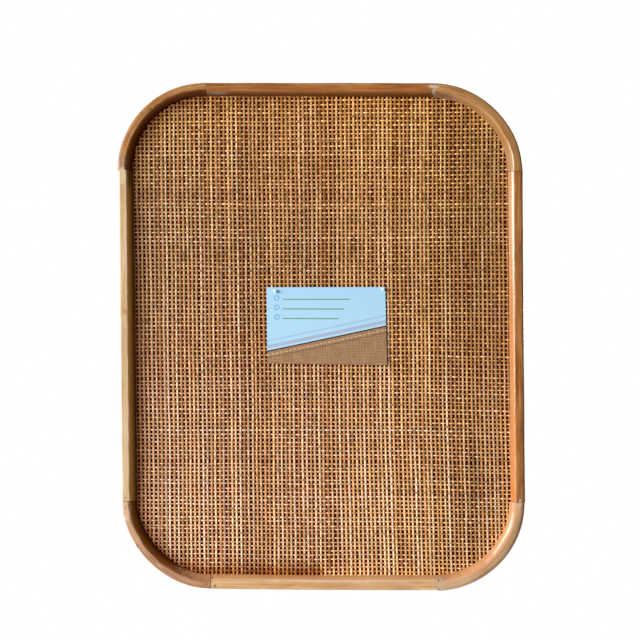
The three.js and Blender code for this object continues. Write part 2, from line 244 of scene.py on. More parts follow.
# ------------------------------------------------------------------ materials: poles
def pole_material(name, section, dark, mid, light, tint, seed, tint_share=0.5, slope=("#a5713c", "#a5713c"), slope_share=0.3, joints=(0.4, 0.4),
                  streak=1.0, rough=0.40, marks=(), stain="#3a2412", figure=0.5, dull=0.0, gloss=0.22, pores=0.3, matt=0.0, haze=0.13, blotch=0.3):
    """slope is the tone of the inner slope below its arris and at its foot: on the top rail, the left stile and the two
    left corners its darkening towards the foot is painted shade, and on the bottom rail its paler tone below the arris
    is a painted highlight; marks are (u, along, half width, half length, strength, colour)
    in millimetres: filler, scars, knots and worn edges, and some darker and paler patches on the inner slopes that are
    painted shade and painted highlights; matt is the length at its far end where the varnish is worn off, haze the
    roughness of a glossy one and blotch how uneven it is."""
    g = Graph(name)
    uv = g.uv("grain")
    fibre = g.noise(g.mapped(uv, (2300, 48, 1), (seed, seed * 1.7, 0)), 1.0, 4, 0.62)
    band = g.noise(g.mapped(uv, (520, 12, 1), (seed * 2.3, seed, 0)), 1.0, 4, 0.6, 0.5)
    cloud = g.noise(g.mapped(uv, (95, 24, 1), (seed * 0.7, seed * 3.1, 0)), 1.0, 3, 0.55, 0.3)
    pore = g.noise(g.mapped(uv, (3600, 190, 1), (seed * 5.0, seed, 0)), 1.0, 2, 0.5)
    t = g.math("MULTIPLY_ADD", g.math("SUBTRACT", band, 0.5), 1.5 * streak, 0.5)
    t = g.math("MULTIPLY_ADD", g.math("SUBTRACT", fibre, 0.5), 0.75 * streak, t)
    t = g.math("MULTIPLY_ADD", g.math("SUBTRACT", cloud, 0.5), 1.1, t)
    base = g.ramp(t, [(0.12, lin(dark)), (0.5, lin(mid)), (0.86, lin(light))])
    patch = g.noise(g.mapped(uv, (60, 17, 1), (seed * 1.3, seed * 0.4, 0)), 1.0, 3, 0.6, 0.4)
    base = g.mix(g.math("MULTIPLY", g.step(patch, 0.46, 0.66), tint_share), base, lin(tint))
    # slanting figure where the grain runs out of the bent pole
    slant = g.noise(g.mapped(uv, (260, 34, 1), (seed * 0.9, seed * 1.9, 0), (0, 0, 0.6)), 1.0, 3, 0.6, 0.8)
    base = g.mix(g.math("MULTIPLY", g.step(slant, 0.56, 0.66), 0.42 * figure), base, lin(dark))
    dash = g.step(pore, 0.66, 0.74)
    base = g.mix(g.math("MULTIPLY", dash, pores), base, lin(stain))
    inner = g.attr("slope")
    # painted shade and highlight: the slope tone darkens towards the foot on the top rail, the left stile and the left
    # corners, and is paler below the arris on the bottom rail
    base = g.mix(g.math("MULTIPLY", g.step(inner, 0.04, 0.28), slope_share), base, g.ramp(inner, [(0.3, lin(slope[0])), (0.95, lin(slope[1]))]))
    # bare, sanded back and rebate
    raw = g.attr("raw")
    sanded = g.ramp(t, [(0.12, lin("#a37d52")), (0.5, lin("#c6a57d")), (0.86, lin("#dcc5a2"))])
    base = g.mix(g.math("MULTIPLY", raw, 0.75), base, sanded)
    smear = g.noise(g.mapped(uv, (420, 420, 1), (seed * 4.1, seed * 2.2, 0)), 1.0, 4, 0.62)
    for u, along, ru, ra, power, colour in marks:
        c = section.across_at(u)
        off = g.mapped(uv, (1000 / ru, 1000 / ra, 0), (-c / ru, -along / ra, 0))
        n = g.node("ShaderNodeVectorMath", operation="LENGTH")
        g.put(n.inputs[0], off)
        far = g.math("MULTIPLY_ADD", g.math("SUBTRACT", smear, 0.5), 1.7, n.outputs["Value"])
        near = g.math("SUBTRACT", 1.0, g.step(far, 0.3, 1.05))
        base = g.mix(g.math("MULTIPLY", near, power), base, lin(colour))
    # the hairline of each butt joint
    for end, amount in (("end0", joints[0]), ("end1", joints[1])):
        line = g.math("SUBTRACT", 1.0, g.step(g.attr(end), 0.0001, 0.0006))
        base = g.mix(g.math("MULTIPLY", line, amount), base, lin("#2e1a0d"))
    g.set("Base Color", base)
    g.set("Roughness", g.math("MULTIPLY_ADD", fibre, 0.16, g.math("MULTIPLY_ADD", raw, 0.3, rough - 0.08)))
    # the varnish is rubbed thin on a dull inner slope
    shine = gloss + 0.3 * dull
    if dull:
        g.set("Coat Weight", g.math("MULTIPLY_ADD", g.step(inner, 0.1, 0.5), -shine * 0.95, shine, clamp=True))
        g.set("Specular IOR Level", 0.5 - 0.42 * dull)
    elif gloss < 0.5:
        g.set("Coat Weight", shine)
    else:
        # the thick varnish has run to the inner slope, unevenly
        thick = g.math("MULTIPLY_ADD", g.step(smear, 0.40, 0.60), blotch, 1 - blotch)
        thick = g.math("MULTIPLY", thick, g.step(inner, 0.0, 0.09))
        if matt:
            thick = g.math("MULTIPLY", thick, g.step(g.attr("end1"), 0.002, matt * MM))
        g.set("Coat Weight", g.math("MULTIPLY_ADD", thick, shine - 0.2, 0.2))
    g.set("Coat Roughness", 0.2 + 0.16 * dull if gloss < 0.5 else haze)
    g.bump(g.math("MULTIPLY_ADD", dash, -0.8, g.math("MULTIPLY_ADD", band, 0.7, fibre)), 0.3, 0.00008)
    return g.mat


# ------------------------------------------------------------------ poles
class Section:
    """Outline of a pole: u inwards from the outer edge, y from the wall plane to the front.
    ease is the radius of the outer edge; the flat face meets the inner slope at u = arris with a fillet of radius soft; trim is what is planed off its lip."""

    def __init__(self, ease=2.2, arris=7.9, soft=1.6, trim=0.0):
        foot = (13.55 - trim, -12.12)
        self.arris = arris
        phi = math.atan2(POLE_D + foot[1], foot[0] - arris)
        cut = soft * math.tan(phi / 2)
        pts = [(2.2, 0.0, 1, 0), (1.0, 0.0, 1, 0), (0.55, -0.12, 1, 0), (0.12, -0.55, 0, 0), (0.0, -1.0, 0, 0)]
        pts += [(0.0, -1.0 - f * (POLE_D - ease - 1.3), 0, 0) for f in (0.2, 0.4, 0.6, 0.8, 0.95)]
        for i in range(11):
            t = math.radians(9 * i)
            pts.append((ease - ease * math.cos(t), -POLE_D + ease - ease * math.sin(t), 0, 0))
        start = arris - cut
        pts += [(ease + f * (start - ease), -POLE_D, 0, 0) for f in (0.12, 0.3, 0.5, 0.7, 0.88)]
        arc, fall = [], []
        for i in range(9):
            t = phi * i / 8
            arc.append((start + soft * math.sin(t), -POLE_D + soft - soft * math.cos(t)))
        for f in (0.08, 0.22, 0.36, 0.5, 0.64, 0.78, 0.9, 1.0):
            fall.append((arc[-1][0] + f * (foot[0] - arc[-1][0]), arc[-1][1] + f * (foot[1] - arc[-1][1])))
        pts += [(u, y, 0, (u - start) / (foot[0] - start)) for u, y in arc + fall]
        pts += [(u - trim, y, bare, 1) for u, y, bare in ((13.84, -11.82, 0), (13.97, -11.56, 0), (13.9, -11.36, 1), (13.7, -11.3, 1))]
        pts += [(11.5, -11.3, 1, 0), (8.7, -11.3, 1, 0)]
        pts += [(8.5, -11.1, 1, 0), (8.5, -8.0, 1, 0), (8.5, -4.0, 1, 0), (8.5, -0.3, 1, 0), (8.38, -0.08, 1, 0), (8.2, 0.0, 1, 0), (6.2, 0.0, 1, 0), (4.2, 0.0, 1, 0)]
        self.at = np.array([q[:2] for q in pts])
        self.bare = np.array([q[2] for q in pts], float)
        self.slope = np.array([q[3] for q in pts], float)
        after, before = np.roll(self.at, -1, 0), np.roll(self.at, 1, 0)
        d = after - before
        out = np.stack([d[:, 1], -d[:, 0]], 1)
        out /= np.linalg.norm(out, axis=1)[:, None]
        area = 0.5 * np.sum(self.at[:, 0] * after[:, 1] - after[:, 0] * self.at[:, 1])
        self.out = out if area > 0 else -out
        self.round = np.concatenate([[0], np.cumsum(np.linalg.norm(after - self.at, axis=1))])
        self.front = [k for k in range(len(pts)) if self.at[k, 1] < -11.5]

    def across_at(self, u):
        """Distance round the section at u on the front of the pole."""
        return float(np.interp(u, self.at[self.front, 0], self.round[self.front]))


LEAN_X, LEAN_Z = 0.0062, 0.0062


def lean(x, z):
    """The hand-made frame is a touch out of square."""
    sag = 0.7 * math.exp(-(((x - 15) / 95) ** 2)) * min(1.0, max(0.0, (Z_MID - 120 - z) / 80))
    return x - LEAN_X * (z - Z_MID), z - LEAN_Z * x - sag


SIDES = {
    "top": (lambda s: (s, Z_TOP), (0, -1), STRAIGHT_X),
    "bottom": (lambda s: (s, Z_BOT), (0, 1), STRAIGHT_X),
    "left": (lambda s: (-X_OUT, Z_MID + s), (1, 0), STRAIGHT_Z),
    "right": (lambda s: (X_OUT, Z_MID + s), (-1, 0), STRAIGHT_Z),
}
CORNERS = {
    "top_left": ((-STRAIGHT_X, Z_MID + STRAIGHT_Z), 90),
    "top_right": ((STRAIGHT_X, Z_MID + STRAIGHT_Z), 0),
    "bottom_left": ((-STRAIGHT_X, Z_MID - STRAIGHT_Z), 180),
    "bottom_right": ((STRAIGHT_X, Z_MID - STRAIGHT_Z), 270),
}


def pole(name, section, put, length, steps, seed, grow=(0.0, 0.0), bumps=(), bare=(0, 0), wander=0.3, skew=0.0, lip=(0.0, 0.0)):
    """A pole whose section is carried along by put(s, u). wander is how far the arris strays from its line and skew how far it closes in towards each end; grow is how far its outer side stands out at each end and lip its inner side;
    bumps are (s, height, width); bare ends show their brads, the others are filled over."""
    SEC, SEC_N, ROUND, RAW = section.at, section.out, section.round, section.bare
    half = length / 2
    s_list = [-half, -half + 0.06, -half + 0.5]
    s_list += list(np.linspace(-half + 1.5, half - 1.5, steps))
    s_list += [half - 0.5, half - 0.06, half]
    n = len(SEC)
    verts, ends0, ends1, raws, inners = [], [], [], [], []
    for i, s in enumerate(s_list):
        f = (s + half) / length
        lift = grow[0] * (1 - f) ** 2 + grow[1] * f ** 2
        shrink = -0.05 if i in (0, len(s_list) - 1) else 0.0
        stray = skew * s / half + 1.6 * wander * (noise.noise(Vector((s / 17.0, seed, 4.0))) + 0.6 * noise.noise(Vector((s / 7.0, seed, 9.0))))
        for k in range(n):
            free = 1.0 - RAW[k]
            slow = noise.noise(Vector((s / 46.0, ROUND[k] / 16.0, seed)))
            fast = noise.noise(Vector((s / 12.0, ROUND[k] / 5.0, seed + 31.0)))
            d = 0.22 * slow + 0.05 * fast
            for gap, show in ((s + half, bare[0]), (half - s, bare[1])):
                w = math.exp(-((gap / 9.0) ** 4))
                d = d * (1 - w) + (-0.05 if show else 0.05) * w
            for at, high, wide in bumps:
                d += high * math.exp(-(((s - at) / wide) ** 2))
            d *= free * min(1.0, max(0.0, (14.0 - SEC[k, 0]) / 2.5))
            u, y = SEC[k] + SEC_N[k] * (d + shrink)
            u -= lift * max(0.0, -SEC_N[k, 0]) * free
            u += stray * max(0.0, 1 - abs(SEC[k, 0] - section.arris) / 4.5) * free
            u += (lip[0] * (1 - f) + lip[1] * f) * section.slope[k]
            x, z = lean(*put(s, u))
            verts.append((x * MM, y * MM, z * MM))
            ends0.append((s + half) * MM)
            ends1.append((half - s) * MM)
            raws.append(RAW[k])
            inners.append(section.slope[k])
    faces = []
    rows = len(s_list)
    for i in range(rows - 1):
        for k in range(n):
            l = (k + 1) % n
            faces.append((i * n + k, i * n + l, (i + 1) * n + l, (i + 1) * n + k))
    faces.append(tuple(range(n)))
    faces.append(tuple((rows - 1) * n + k for k in reversed(range(n))))
    ob = build(name, verts, faces)
    uv = ob.data.uv_layers.new(name="grain")
    co = []
    for i in range(rows - 1):
        for k in range(n):
            a, b = ROUND[k], ROUND[k + 1]
            co += [(a, s_list[i]), (b, s_list[i]), (b, s_list[i + 1]), (a, s_list[i + 1])]
    co += [(ROUND[k], s_list[0]) for k in range(n)] + [(ROUND[k], s_list[-1]) for k in reversed(range(n))]
    uv.data.foreach_set("uv", (np.array(co, np.float32) * MM).ravel())
    float_attr(ob, "end0", ends0)
    float_attr(ob, "end1", ends1)
    float_attr(ob, "raw", raws)
    float_attr(ob, "slope", inners)
    outward(ob)
    ends = [ob.data.polygons[-1], ob.data.polygons[-2]]
    for face in ends:
        face.use_smooth = False
    return ob


def side_pole(name, section, key, seed, **kw):
    at, inward, half = SIDES[key]

    def put(s, u):
        x, z = at(s)
        return x + inward[0] * u, z + inward[1] * u

    length = 2 * half - BUTT_SEEN
    return pole(name, section, put, length, int(length / 3.0), seed, **kw)


def corner_pole(name, section, key, seed, tight=0.0, slim=0.0, **kw):
    """tight is how far the middle of the bend cuts in, slim how much narrower its inner side is there."""
    (cx, cz), a0 = CORNERS[key]
    mean = BEND_R - POLE_W / 2
    length = math.radians(90) * mean - BUTT_SEEN

    def put(s, u):
        a = math.radians(a0 + 45) + s / mean
        bend = math.cos(math.pi * s / length) ** 2
        r = BEND_R - u - tight * bend + slim * bend * min(1.0, max(0.0, (u - 7) / 7))
        return cx + r * math.cos(a), cz + r * math.sin(a)

    return pole(name, section, put, length, 64, seed, **kw)


PALE, GREY, SOOT = "#cfc4b2", "#a9a49a", "#2f1c10"
POLES = {
    # name: (kind, side, slot, section, look, build options). A side runs from low to high x or z, a corner anticlockwise seen from the front.
    "top_rail": ("side", "top", "pole_orange", dict(ease=2.0, arris=9.2, soft=3.4, trim=1.1),
                 dict(dark="#7c461a", mid="#a56730", light="#c28850", tint="#9a6c42", seed=3.1, tint_share=0.3, slope=("#9e622c", "#603612"), slope_share=0.9,
                      joints=(0.25, 0.1), dull=0.7,
                      marks=((10.6, -102, 2.8, 13.0, 0.7, "#9a948c"), (3.6, 113.5, 2.2, 7.0, 0.9, PALE), (8.5, 114, 6.0, 2.2, 0.7, PALE),
                             (5.0, -60, 2.0, 14, 0.3, "#6e3f18"), (3.2, 30, 1.6, 22, 0.25, "#c89258"))),
                 dict(grow=(-0.5, 0.0))),
    "bottom_rail": ("side", "bottom", "pole_blond", dict(ease=2.2, arris=10.2, soft=2.6),
                    dict(dark="#b5814a", mid="#d4a672", light="#e4c498", tint="#cf9f80", seed=7.7, tint_share=0.4, slope=("#e0b084", "#be8450"), slope_share=0.65,
                         joints=(0.9, 0.0), figure=0.3,
                         marks=((4.5, -109, 1.7, 1.7, 0.55, SOOT), (2.4, -110, 1.2, 2.2, 0.4, SOOT), (11.5, -112.5, 2.2, 1.6, 0.6, SOOT),
                                (11.0, 112, 2.4, 2.6, 0.4, GREY), (6.5, 114, 10.0, 6.0, 0.85, "#c8ab8a"), (9.4, 10, 1.7, 105, 0.4, "#f2e0c6"))),
                    dict(bare=(1, 0), grow=(-0.4, 0.0))),
    "left_stile": ("side", "left", "pole_pale", dict(ease=1.1, arris=7.1, soft=0.9),
                   dict(dark="#b99466", mid="#d3b48b", light="#e6cfad", tint="#d0ac8e", seed=12.4, tint_share=0.45, slope=("#cb9545", "#5c3004"), slope_share=1.0,
                        joints=(0.55, 0.0), figure=0.25, dull=1.0,
                        marks=((4.0, 166.0, 4.6, 3.4, 0.8, "#d6cbb9"), (4.0, 158, 5.0, 10.0, 0.6, "#dcd3a8"), (4.8, 24.0, 3.2, 4.2, 0.62, "#b07a48"), (6.0, 25.0, 1.3, 2.4, 0.4, "#8a5634"),
                               (4.0, -110, 6.0, 60, 0.35, "#e4c8aa"), (4.0, 30, 6.0, 34, 0.3, "#c0a078"), (4.0, 108, 6.0, 34, 0.4, "#c0a47c"), (4.0, -30, 6.0, 42, 0.35, "#bf9c70"), (10.6, 162, 4.2, 19, 0.7, "#3c1e06"))),
                   dict(grow=(-0.6, 0.1), skew=-0.15, lip=(0.0, -0.9), bumps=((24.0, 0.35, 6.0),), bare=(1, 0))),
    "right_stile": ("side", "right", "pole_orange", dict(ease=2.8, arris=9.85, soft=3.0, trim=0.45),
                    dict(dark="#7d4818", mid="#a26833", light="#c28a4e", tint="#b37c48", seed=17.9, tint_share=0.4, slope=("#d4884a", "#c48450"), slope_share=0.75,
                         joints=(0.3, 0.5), gloss=0.72, haze=0.18, blotch=0.4, streak=1.35, figure=0.7,
                         # the first mark, a pale streak down the upper part of the inner slope, is a painted highlight
                         marks=((10.4, 130, 2.6, 110, 0.8, "#cec6b0"), (4.0, -105, 6.0, 45, 0.25, "#8a4e20"), (4.0, -158, 6.0, 14, 0.4, "#b57e52"), (12.0, -156, 5.0, 14, 0.55, "#cc742e"), (12.4, 110, 1.9, 75, 0.7, "#caa27a"), (8.9, 140, 0.9, 36, 0.3, "#ecd6ba"), (5.2, -164.5, 1.4, 3.4, 0.85, "#b4c0bf"))),
                    dict(grow=(0.0, 0.85), skew=-0.2, lip=(0.3, 0.0))),
    "corner_top_left": ("corner", "top_left", "pole_brown", dict(ease=1.2, arris=6.1, soft=0.7),
                        dict(dark="#754a22", mid="#b6834c", light="#d0a06e", tint="#9e6e3e", seed=22.2, tint_share=0.4, slope=("#804606", "#421a02"), slope_share=1.0,
                             joints=(0.25, 0.0), streak=0.75, figure=0.35, pores=0.5, dull=1.0,
                             marks=((4.0, 41, 5.5, 4.6, 0.7, "#c4772c"), (4.0, 56, 6.0, 7.5, 0.6, "#b0907e"), (4.0, 63.5, 4.6, 4.2, 0.85, PALE), (10.5, -56, 4.5, 16, 0.6, "#4e260a"), (0.2, 44, 1.7, 17, 0.6, "#6a4020"), (2.2, 33, 2.8, 10, 0.55, "#7a4c26"),
                                    (2.6, -12, 2.8, 8, 0.5, "#9a5628"), (6.0, -23, 2.0, 9, 0.6, "#a4541a"), (5.0, -3, 1.3, 3.2, 0.6, "#4e2c12"), (1.8, 5.5, 1.0, 1.6, 0.5, "#5a3416"), (4.4, 17, 2.6, 6, 0.35, "#8e5a30"))),
                        dict(grow=(-0.6, 1.4), skew=-0.5, lip=(-1.0, -1.7), wander=0.55, slim=1.5)),
    "corner_top_right": ("corner", "top_right", "pole_tan", dict(ease=2.6, arris=8.4, soft=2.6),
                         dict(dark="#8a5a28", mid="#b58047", light="#cb9b62", tint="#a87e50", seed=27.5, tint_share=0.5, slope=("#ac7c4a", "#8e6034"), slope_share=0.7,
                              joints=(0.5, 0.1), gloss=0.66, haze=0.16, blotch=0.6, streak=1.3, figure=0.7, pores=0.4,
                              # the second mark, a dark patch on the inner slope near the top joint, is painted shade
                              marks=((8.8, -45, 1.0, 24, 0.35, "#e6d2bc"), (11.4, 58, 5.0, 22, 0.85, "#7a4a1c"), (4.0, 4, 7.0, 42, 0.4, "#c49664"), (3.6, 63.5, 2.2, 6.5, 0.9, PALE), (8.5, 63.6, 6.0, 2.0, 0.6, PALE))),
                         dict(grow=(0.55, 0.0), tight=0.8, wander=0.5, slim=0.5)),
    "corner_bottom_left": ("corner", "bottom_left", "pole_tan", dict(ease=1.6, arris=6.8, soft=1.2),
                           dict(dark="#8a6034", mid="#b98a64", light="#d1a888", tint="#c29684", seed=33.8, tint_share=0.5, slope=("#8e5014", "#4a2000"), slope_share=1.0,
                                joints=(0.5, 0.9), dull=1.0,
                                marks=((4.2, 9.5, 2.2, 5.0, 0.55, "#e0cdb8"), (2.2, -47.5, 2.4, 4.0, 0.75, "#f0d8c8"), (1.4, -19.5, 1.7, 2.4, 0.75, SOOT), (4.5, -60.5, 1.5, 1.3, 0.5, SOOT),
                                       (4.5, 59.5, 1.6, 1.7, 0.5, SOOT), (11.5, 62.5, 2.4, 1.8, 0.6, SOOT), (4.0, -35, 6.0, 24, 0.4, "#e0bc98"), (4.0, -58, 6.5, 20, 0.7, "#e4c0a6"),
                                       (4.5, 18, 6.0, 26, 0.5, "#a06e54"), (11.0, 58, 8.0, 40, 0.95, "#b8845e"))),
                           dict(bare=(1, 1), grow=(-0.2, -0.9), skew=0.8, tight=1.5, wander=0.5, slim=-0.4)),
    "corner_bottom_right": ("corner", "bottom_right", "pole_tan", dict(ease=4.2, arris=11.0, soft=7.0),
                            dict(dark="#966642", mid="#bf8d66", light="#d6ac84", tint="#b59c76", seed=38.3, tint_share=0.5, slope=("#dca072", "#d99058"), slope_share=0.6,
                                 joints=(0.0, 0.3), gloss=0.86, haze=0.26, pores=0.4, matt=30.0,
                                 marks=((5.2, 62.0, 1.5, 4.0, 0.85, "#b4c0bf"), (11.5, -57, 2.6, 6.0, 0.6, "#8f8578"), (5.5, -61, 4.5, 4.0, 0.4, "#a79a86"), (6.5, -63.5, 10.0, 7.0, 0.85, "#c8ab8a"), (4.5, -44, 7.0, 32, 0.5, "#e2c29e"))),
                            dict(grow=(1.1, -0.4), skew=0.5, lip=(0.8, 0.9), tight=0.45, wander=0.5, slim=-0.6)),
}
for name, (kind, key, slot, shape, look, options) in POLES.items():
    make = side_pole if kind == "side" else corner_pole
    section = Section(**shape)
    ob = make("pole_" + name, section, key, look["seed"], **options)
    place(ob, "board", pole_material("wood_" + name, section, **look), slot, name)


# ------------------------------------------------------------------ woven cane panel
PITCH_X, PITCH_Z = 4.18, 4.20
WEB_HX, WEB_HZ, WEB_R = 191.2, 243.2, 77.2
WEB_Y = -10.12
LIFT_UP, LIFT_ACROSS = 0.36, 0.58  # how far an upright and a crosswise strand bend off the middle
rng = np.random.default_rng(20)


PH = rng.uniform(0, 2 * math.pi, 16)


def drift(p, q):
    """How far the weave is pulled sideways and up at (p, q), in millimetres: it leans, most of all towards its lower right, and waves a little."""
    t = q - Z_MID
    v = (16.2 - t) / 250.8
    w = np.clip((p + 52) / 120, 0, 1)
    w = w * w * (3 - 2 * w)
    dx = (1 - w) * (((-0.47 * v - 0.36) * v + 2.95) * v - 0.35) + w * (((0.67 * v + 2.37) * v + 1.96) * v - 0.66)
    dx = dx + 0.16 * np.sin(t / 27 - p / 60 + PH[1]) + 0.16 * np.sin(p / 45 + t / 200 + PH[2])
    fall = np.clip(p / 160, 0, 1.2) ** 1.5 * (2.9 / (1 + np.exp(-v / 0.07)) - 0.6 - np.clip((v - 0.4) / 0.6, 0, 1))
    rise = np.clip(-p / 176, 0, 1.2) ** 1.3 * (1.8 * np.exp(-(((v + 0.38) / 0.26) ** 2)) + 2.4 * np.clip((v - 0.25) / 0.75, 0, 1))
    dz = rise - fall + 0.2 * np.sin(p / 24 - t / 75 + PH[4]) + 0.2 * np.sin(t / 40 + p / 240 + PH[5])
    return dx, dz


def inside(x, z):
    """Whether a point lies within the panel's rounded outline."""
    ox, oz = np.abs(x) - (WEB_HX - WEB_R), np.abs(z - Z_MID) - (WEB_HZ - WEB_R)
    return np.where((ox > 0) & (oz > 0), np.hypot(np.maximum(ox, 0), np.maximum(oz, 0)) < WEB_R, (ox < WEB_R) & (oz < WEB_R))


def wobble(q, length, amount):
    """Smooth random values along q."""
    k = np.floor((q - q.min()) / length).astype(int)
    f = (q - q.min()) / length - k
    v = rng.normal(0, 1, k.max() + 3)
    f = f * f * (3 - 2 * f)
    return amount * (v[k] * (1 - f) + v[k + 1] * f)


# cream, straw, tan, russet, greyed and pale strands
CANE_TONES = np.array([lin(c)[:3] for c in ("#deba7e", "#d0a766", "#be8f52", "#ae7c43", "#b99a6c", "#dcbc8c")])


def strand(upright, index, at, low, high, row0, pitch, weights):
    """Rings of one strand's mesh and a tone for each."""
    step = pitch / 4
    k = np.arange(math.ceil((low - row0) / step), math.floor((high - row0) / step) + 1)
    q = row0 + k * step
    turn = np.cos(np.pi * (q - row0) / pitch + np.pi * index)
    depth = WEB_Y - LIFT_UP * turn if upright else WEB_Y + LIFT_ACROSS * turn
    across = np.full_like(q, at) + rng.normal(0, 0.15 if upright else 0.24) + wobble(q, 26, 0.15 if upright else 0.2)
    wide = (np.clip(rng.normal(2.50, 0.20), 2.0, 3.0) if upright else np.clip(rng.normal(1.76, 0.16), 1.4, 2.15)) * (1 + wobble(q, 33, 0.035))
    # the weave is a little closer in its upper half
    wide = wide * (1 + (0.03 if upright else 0.075) * np.clip(((q if upright else at) - Z_MID) / 150 + 0.2, 0, 1))
    thick = np.clip(rng.normal(0.96, 0.05), 0.86, 1.06) * (1 + wobble(q, 40, 0.02))
    dx, dz = drift(across, q) if upright else drift(q, across)
    rings = np.zeros((len(q), 8, 3))
    twist = np.clip(rng.normal(0, 0.12) + wobble(q, 30, 0.14), -0.4, 0.4)
    for j in range(8):
        a = math.radians(45 * j)
        flat, high = wide / 2 * math.cos(a), thick / 2 * math.sin(a)
        side = flat * np.cos(twist) - high * np.sin(twist)
        y = depth - (flat * np.sin(twist) + high * np.cos(twist))
        if upright:
            rings[:, j] = np.stack([across + dx + side, y, q + dz], 1)
        else:
            rings[:, j] = np.stack([q + dx, y, across + dz - side], 1)
    tone = CANE_TONES[rng.choice(len(CANE_TONES), p=weights)]
    other = CANE_TONES[rng.choice(len(CANE_TONES), p=weights)]
    f = 1 / (1 + np.exp(-2.2 * (wobble(q, 90, 1.0) - 0.9)))
    col = tone[None] * (1 - f[:, None]) + other[None] * f[:, None]
    if not upright:
        col = col * 0.62 + CANE_TONES[1][None] * 0.36
    patchy = (wobble(q, 5.5, 0.13) if upright else wobble(q, 6.5, 0.23)) + wobble(q, 22, 0.08) + wobble(q, 70, 0.06)
    col = col * (1 + patchy[:, None] * np.array([0.85, 1.0, 1.4])[None])
    # painted glints: small white highlights painted on crests of some crosswise strands, more of them towards the foot
    # and the left
    if not upright:
        top = q[(k - k[0]) % 4 == 0]
        glint_chance = (0.03 + 0.12 * (rng.random() < 0.22)) * (0.5 + 1.5 * (Z_TOP - at) / FRAME_H) * (1.4 - 0.9 * np.clip(top / FRAME_W + 0.5, 0, 1))
        for c in top[rng.random(len(top)) < glint_chance]:
            painted_glint = 0.9 * np.exp(-(((q - c) / 1.1) ** 4)) * (turn < -0.3)
            col = col * (1 - painted_glint[:, None]) + np.array(lin("#fbf0e0")[:3])[None] * painted_glint[:, None]
    for _ in range(rng.poisson(len(q) / (420 if upright else 300))):
        c, w, deep = rng.uniform(q.min(), q.max()), rng.uniform(3, 10), rng.uniform(0.25, 0.6)
        dark = deep * np.exp(-(((q - c) / w) ** 4))
        col = col * (1 - dark[:, None]) + np.array(lin("#5d3713")[:3])[None] * dark[:, None]
    return rings * MM, np.clip(col, 0.02, 0.95)


def strands(name, items, node):
    """One piece of many strands."""
    verts, loops, starts, tones, uvs = [], [], [], [], []
    base = count = 0
    total = len(items)
    for s, (rings, col) in enumerate(items):
        n = len(rings)
        verts.append(rings.reshape(-1, 3))
        # painted shade on the flanks and back of each strand, standing in for the shade of the gaps, and a painted
        # highlight on its top
        rim, flank_shade, crown_highlight, under = (0.60, 0.10, 0.005), (0.89, 0.48, 0.21), (1.03, 1.28, 1.48), (0.55, 0.08, 0.005)
        edge = np.array([rim, flank_shade, crown_highlight, flank_shade, rim, under, under, under])[None]
        shade = np.ones((n, 8, 4))
        low = np.clip((Z_TOP - rings[:, :, 2:] / MM) / FRAME_H, 0, 1)
        # the painted shade on the sides and back is deeper to the right and towards the foot
        deep = np.where(edge[:, :, :1] < 0.7, (1 - 0.22 * np.clip(rings[:, :, :1] / MM / FRAME_W + 0.5, 0, 1)) * (1.3 - 0.34 * low), 1.0)
        # the painted highlight on the strand's top is yellower at the right and at the upper left
        right = np.clip(rings[:, :, :1] / MM / FRAME_W + 0.5, 0, 1)
        gold = np.clip((right - 0.45) / 0.3, 0, 1) + 0.9 * np.clip((0.32 - right) / 0.2, 0, 1) * np.clip(1.3 - 2.2 * low, 0, 1)
        gold = 1 + np.where(edge[:, :, :1] > 1.0, gold, 0.0) * np.array([0.02, 0.12, 0.13])
        shade[:, :, :3] = np.minimum(col[:, None] * edge * deep * gold, 0.97)
        tones.append(shade.reshape(-1, 4))
        i, j = np.meshgrid(np.arange(n - 1), np.arange(8), indexing="ij")
        i, j = i.ravel(), j.ravel()
        l = (j + 1) % 8
        quad = np.stack([i * 8 + j, i * 8 + l, (i + 1) * 8 + l, (i + 1) * 8 + j], 1) + base
        u0, u1 = (s + 0.06 + 0.88 * j / 8) / total, (s + 0.06 + 0.88 * (j + 1) / 8) / total
        v0, v1 = 0.01 + 0.98 * i / (n - 1), 0.01 + 0.98 * (i + 1) / (n - 1)
        uvs.append(np.stack([u0, v0, u1, v0, u1, v1, u0, v1], 1).reshape(-1, 2))
        loops.append(quad.ravel())
        starts.append(count + 4 * np.arange(len(quad)))
        count += 4 * len(quad)
        for ring, order in ((0, range(7, -1, -1)), (n - 1, range(8))):
            loops.append(np.array([base + ring * 8 + m for m in order]))
            starts.append(np.array([count]))
            uvs.append(np.array([[(s + 0.06 + 0.88 * m / 8) / total, 0.005 if ring == 0 else 0.995] for m in order]))
            count += 8
        base += n * 8
    verts, loops, starts = np.concatenate(verts), np.concatenate(loops), np.concatenate(starts)
    me = bpy.data.meshes.new(name)
    me.vertices.add(len(verts))
    me.vertices.foreach_set("co", verts.astype(np.float32).ravel())
    me.loops.add(len(loops))
    me.loops.foreach_set("vertex_index", loops.astype(np.int32))
    me.polygons.add(len(starts))
    me.polygons.foreach_set("loop_start", starts.astype(np.int32))
    me.update(calc_edges=True)
    me.polygons.foreach_set("use_smooth", np.ones(len(starts), bool))
    a = me.color_attributes.new("tone", "FLOAT_COLOR", "POINT")
    a.data.foreach_set("color", np.concatenate(tones).astype(np.float32).ravel())
    uv = me.uv_layers.new(name="OFBake")
    uv.data.foreach_set("uv", np.concatenate(uvs).astype(np.float32).ravel())
    ob = bpy.data.objects.new(name, me)
    bpy.context.scene.collection.objects.link(ob)
    outward(ob)
    return ob


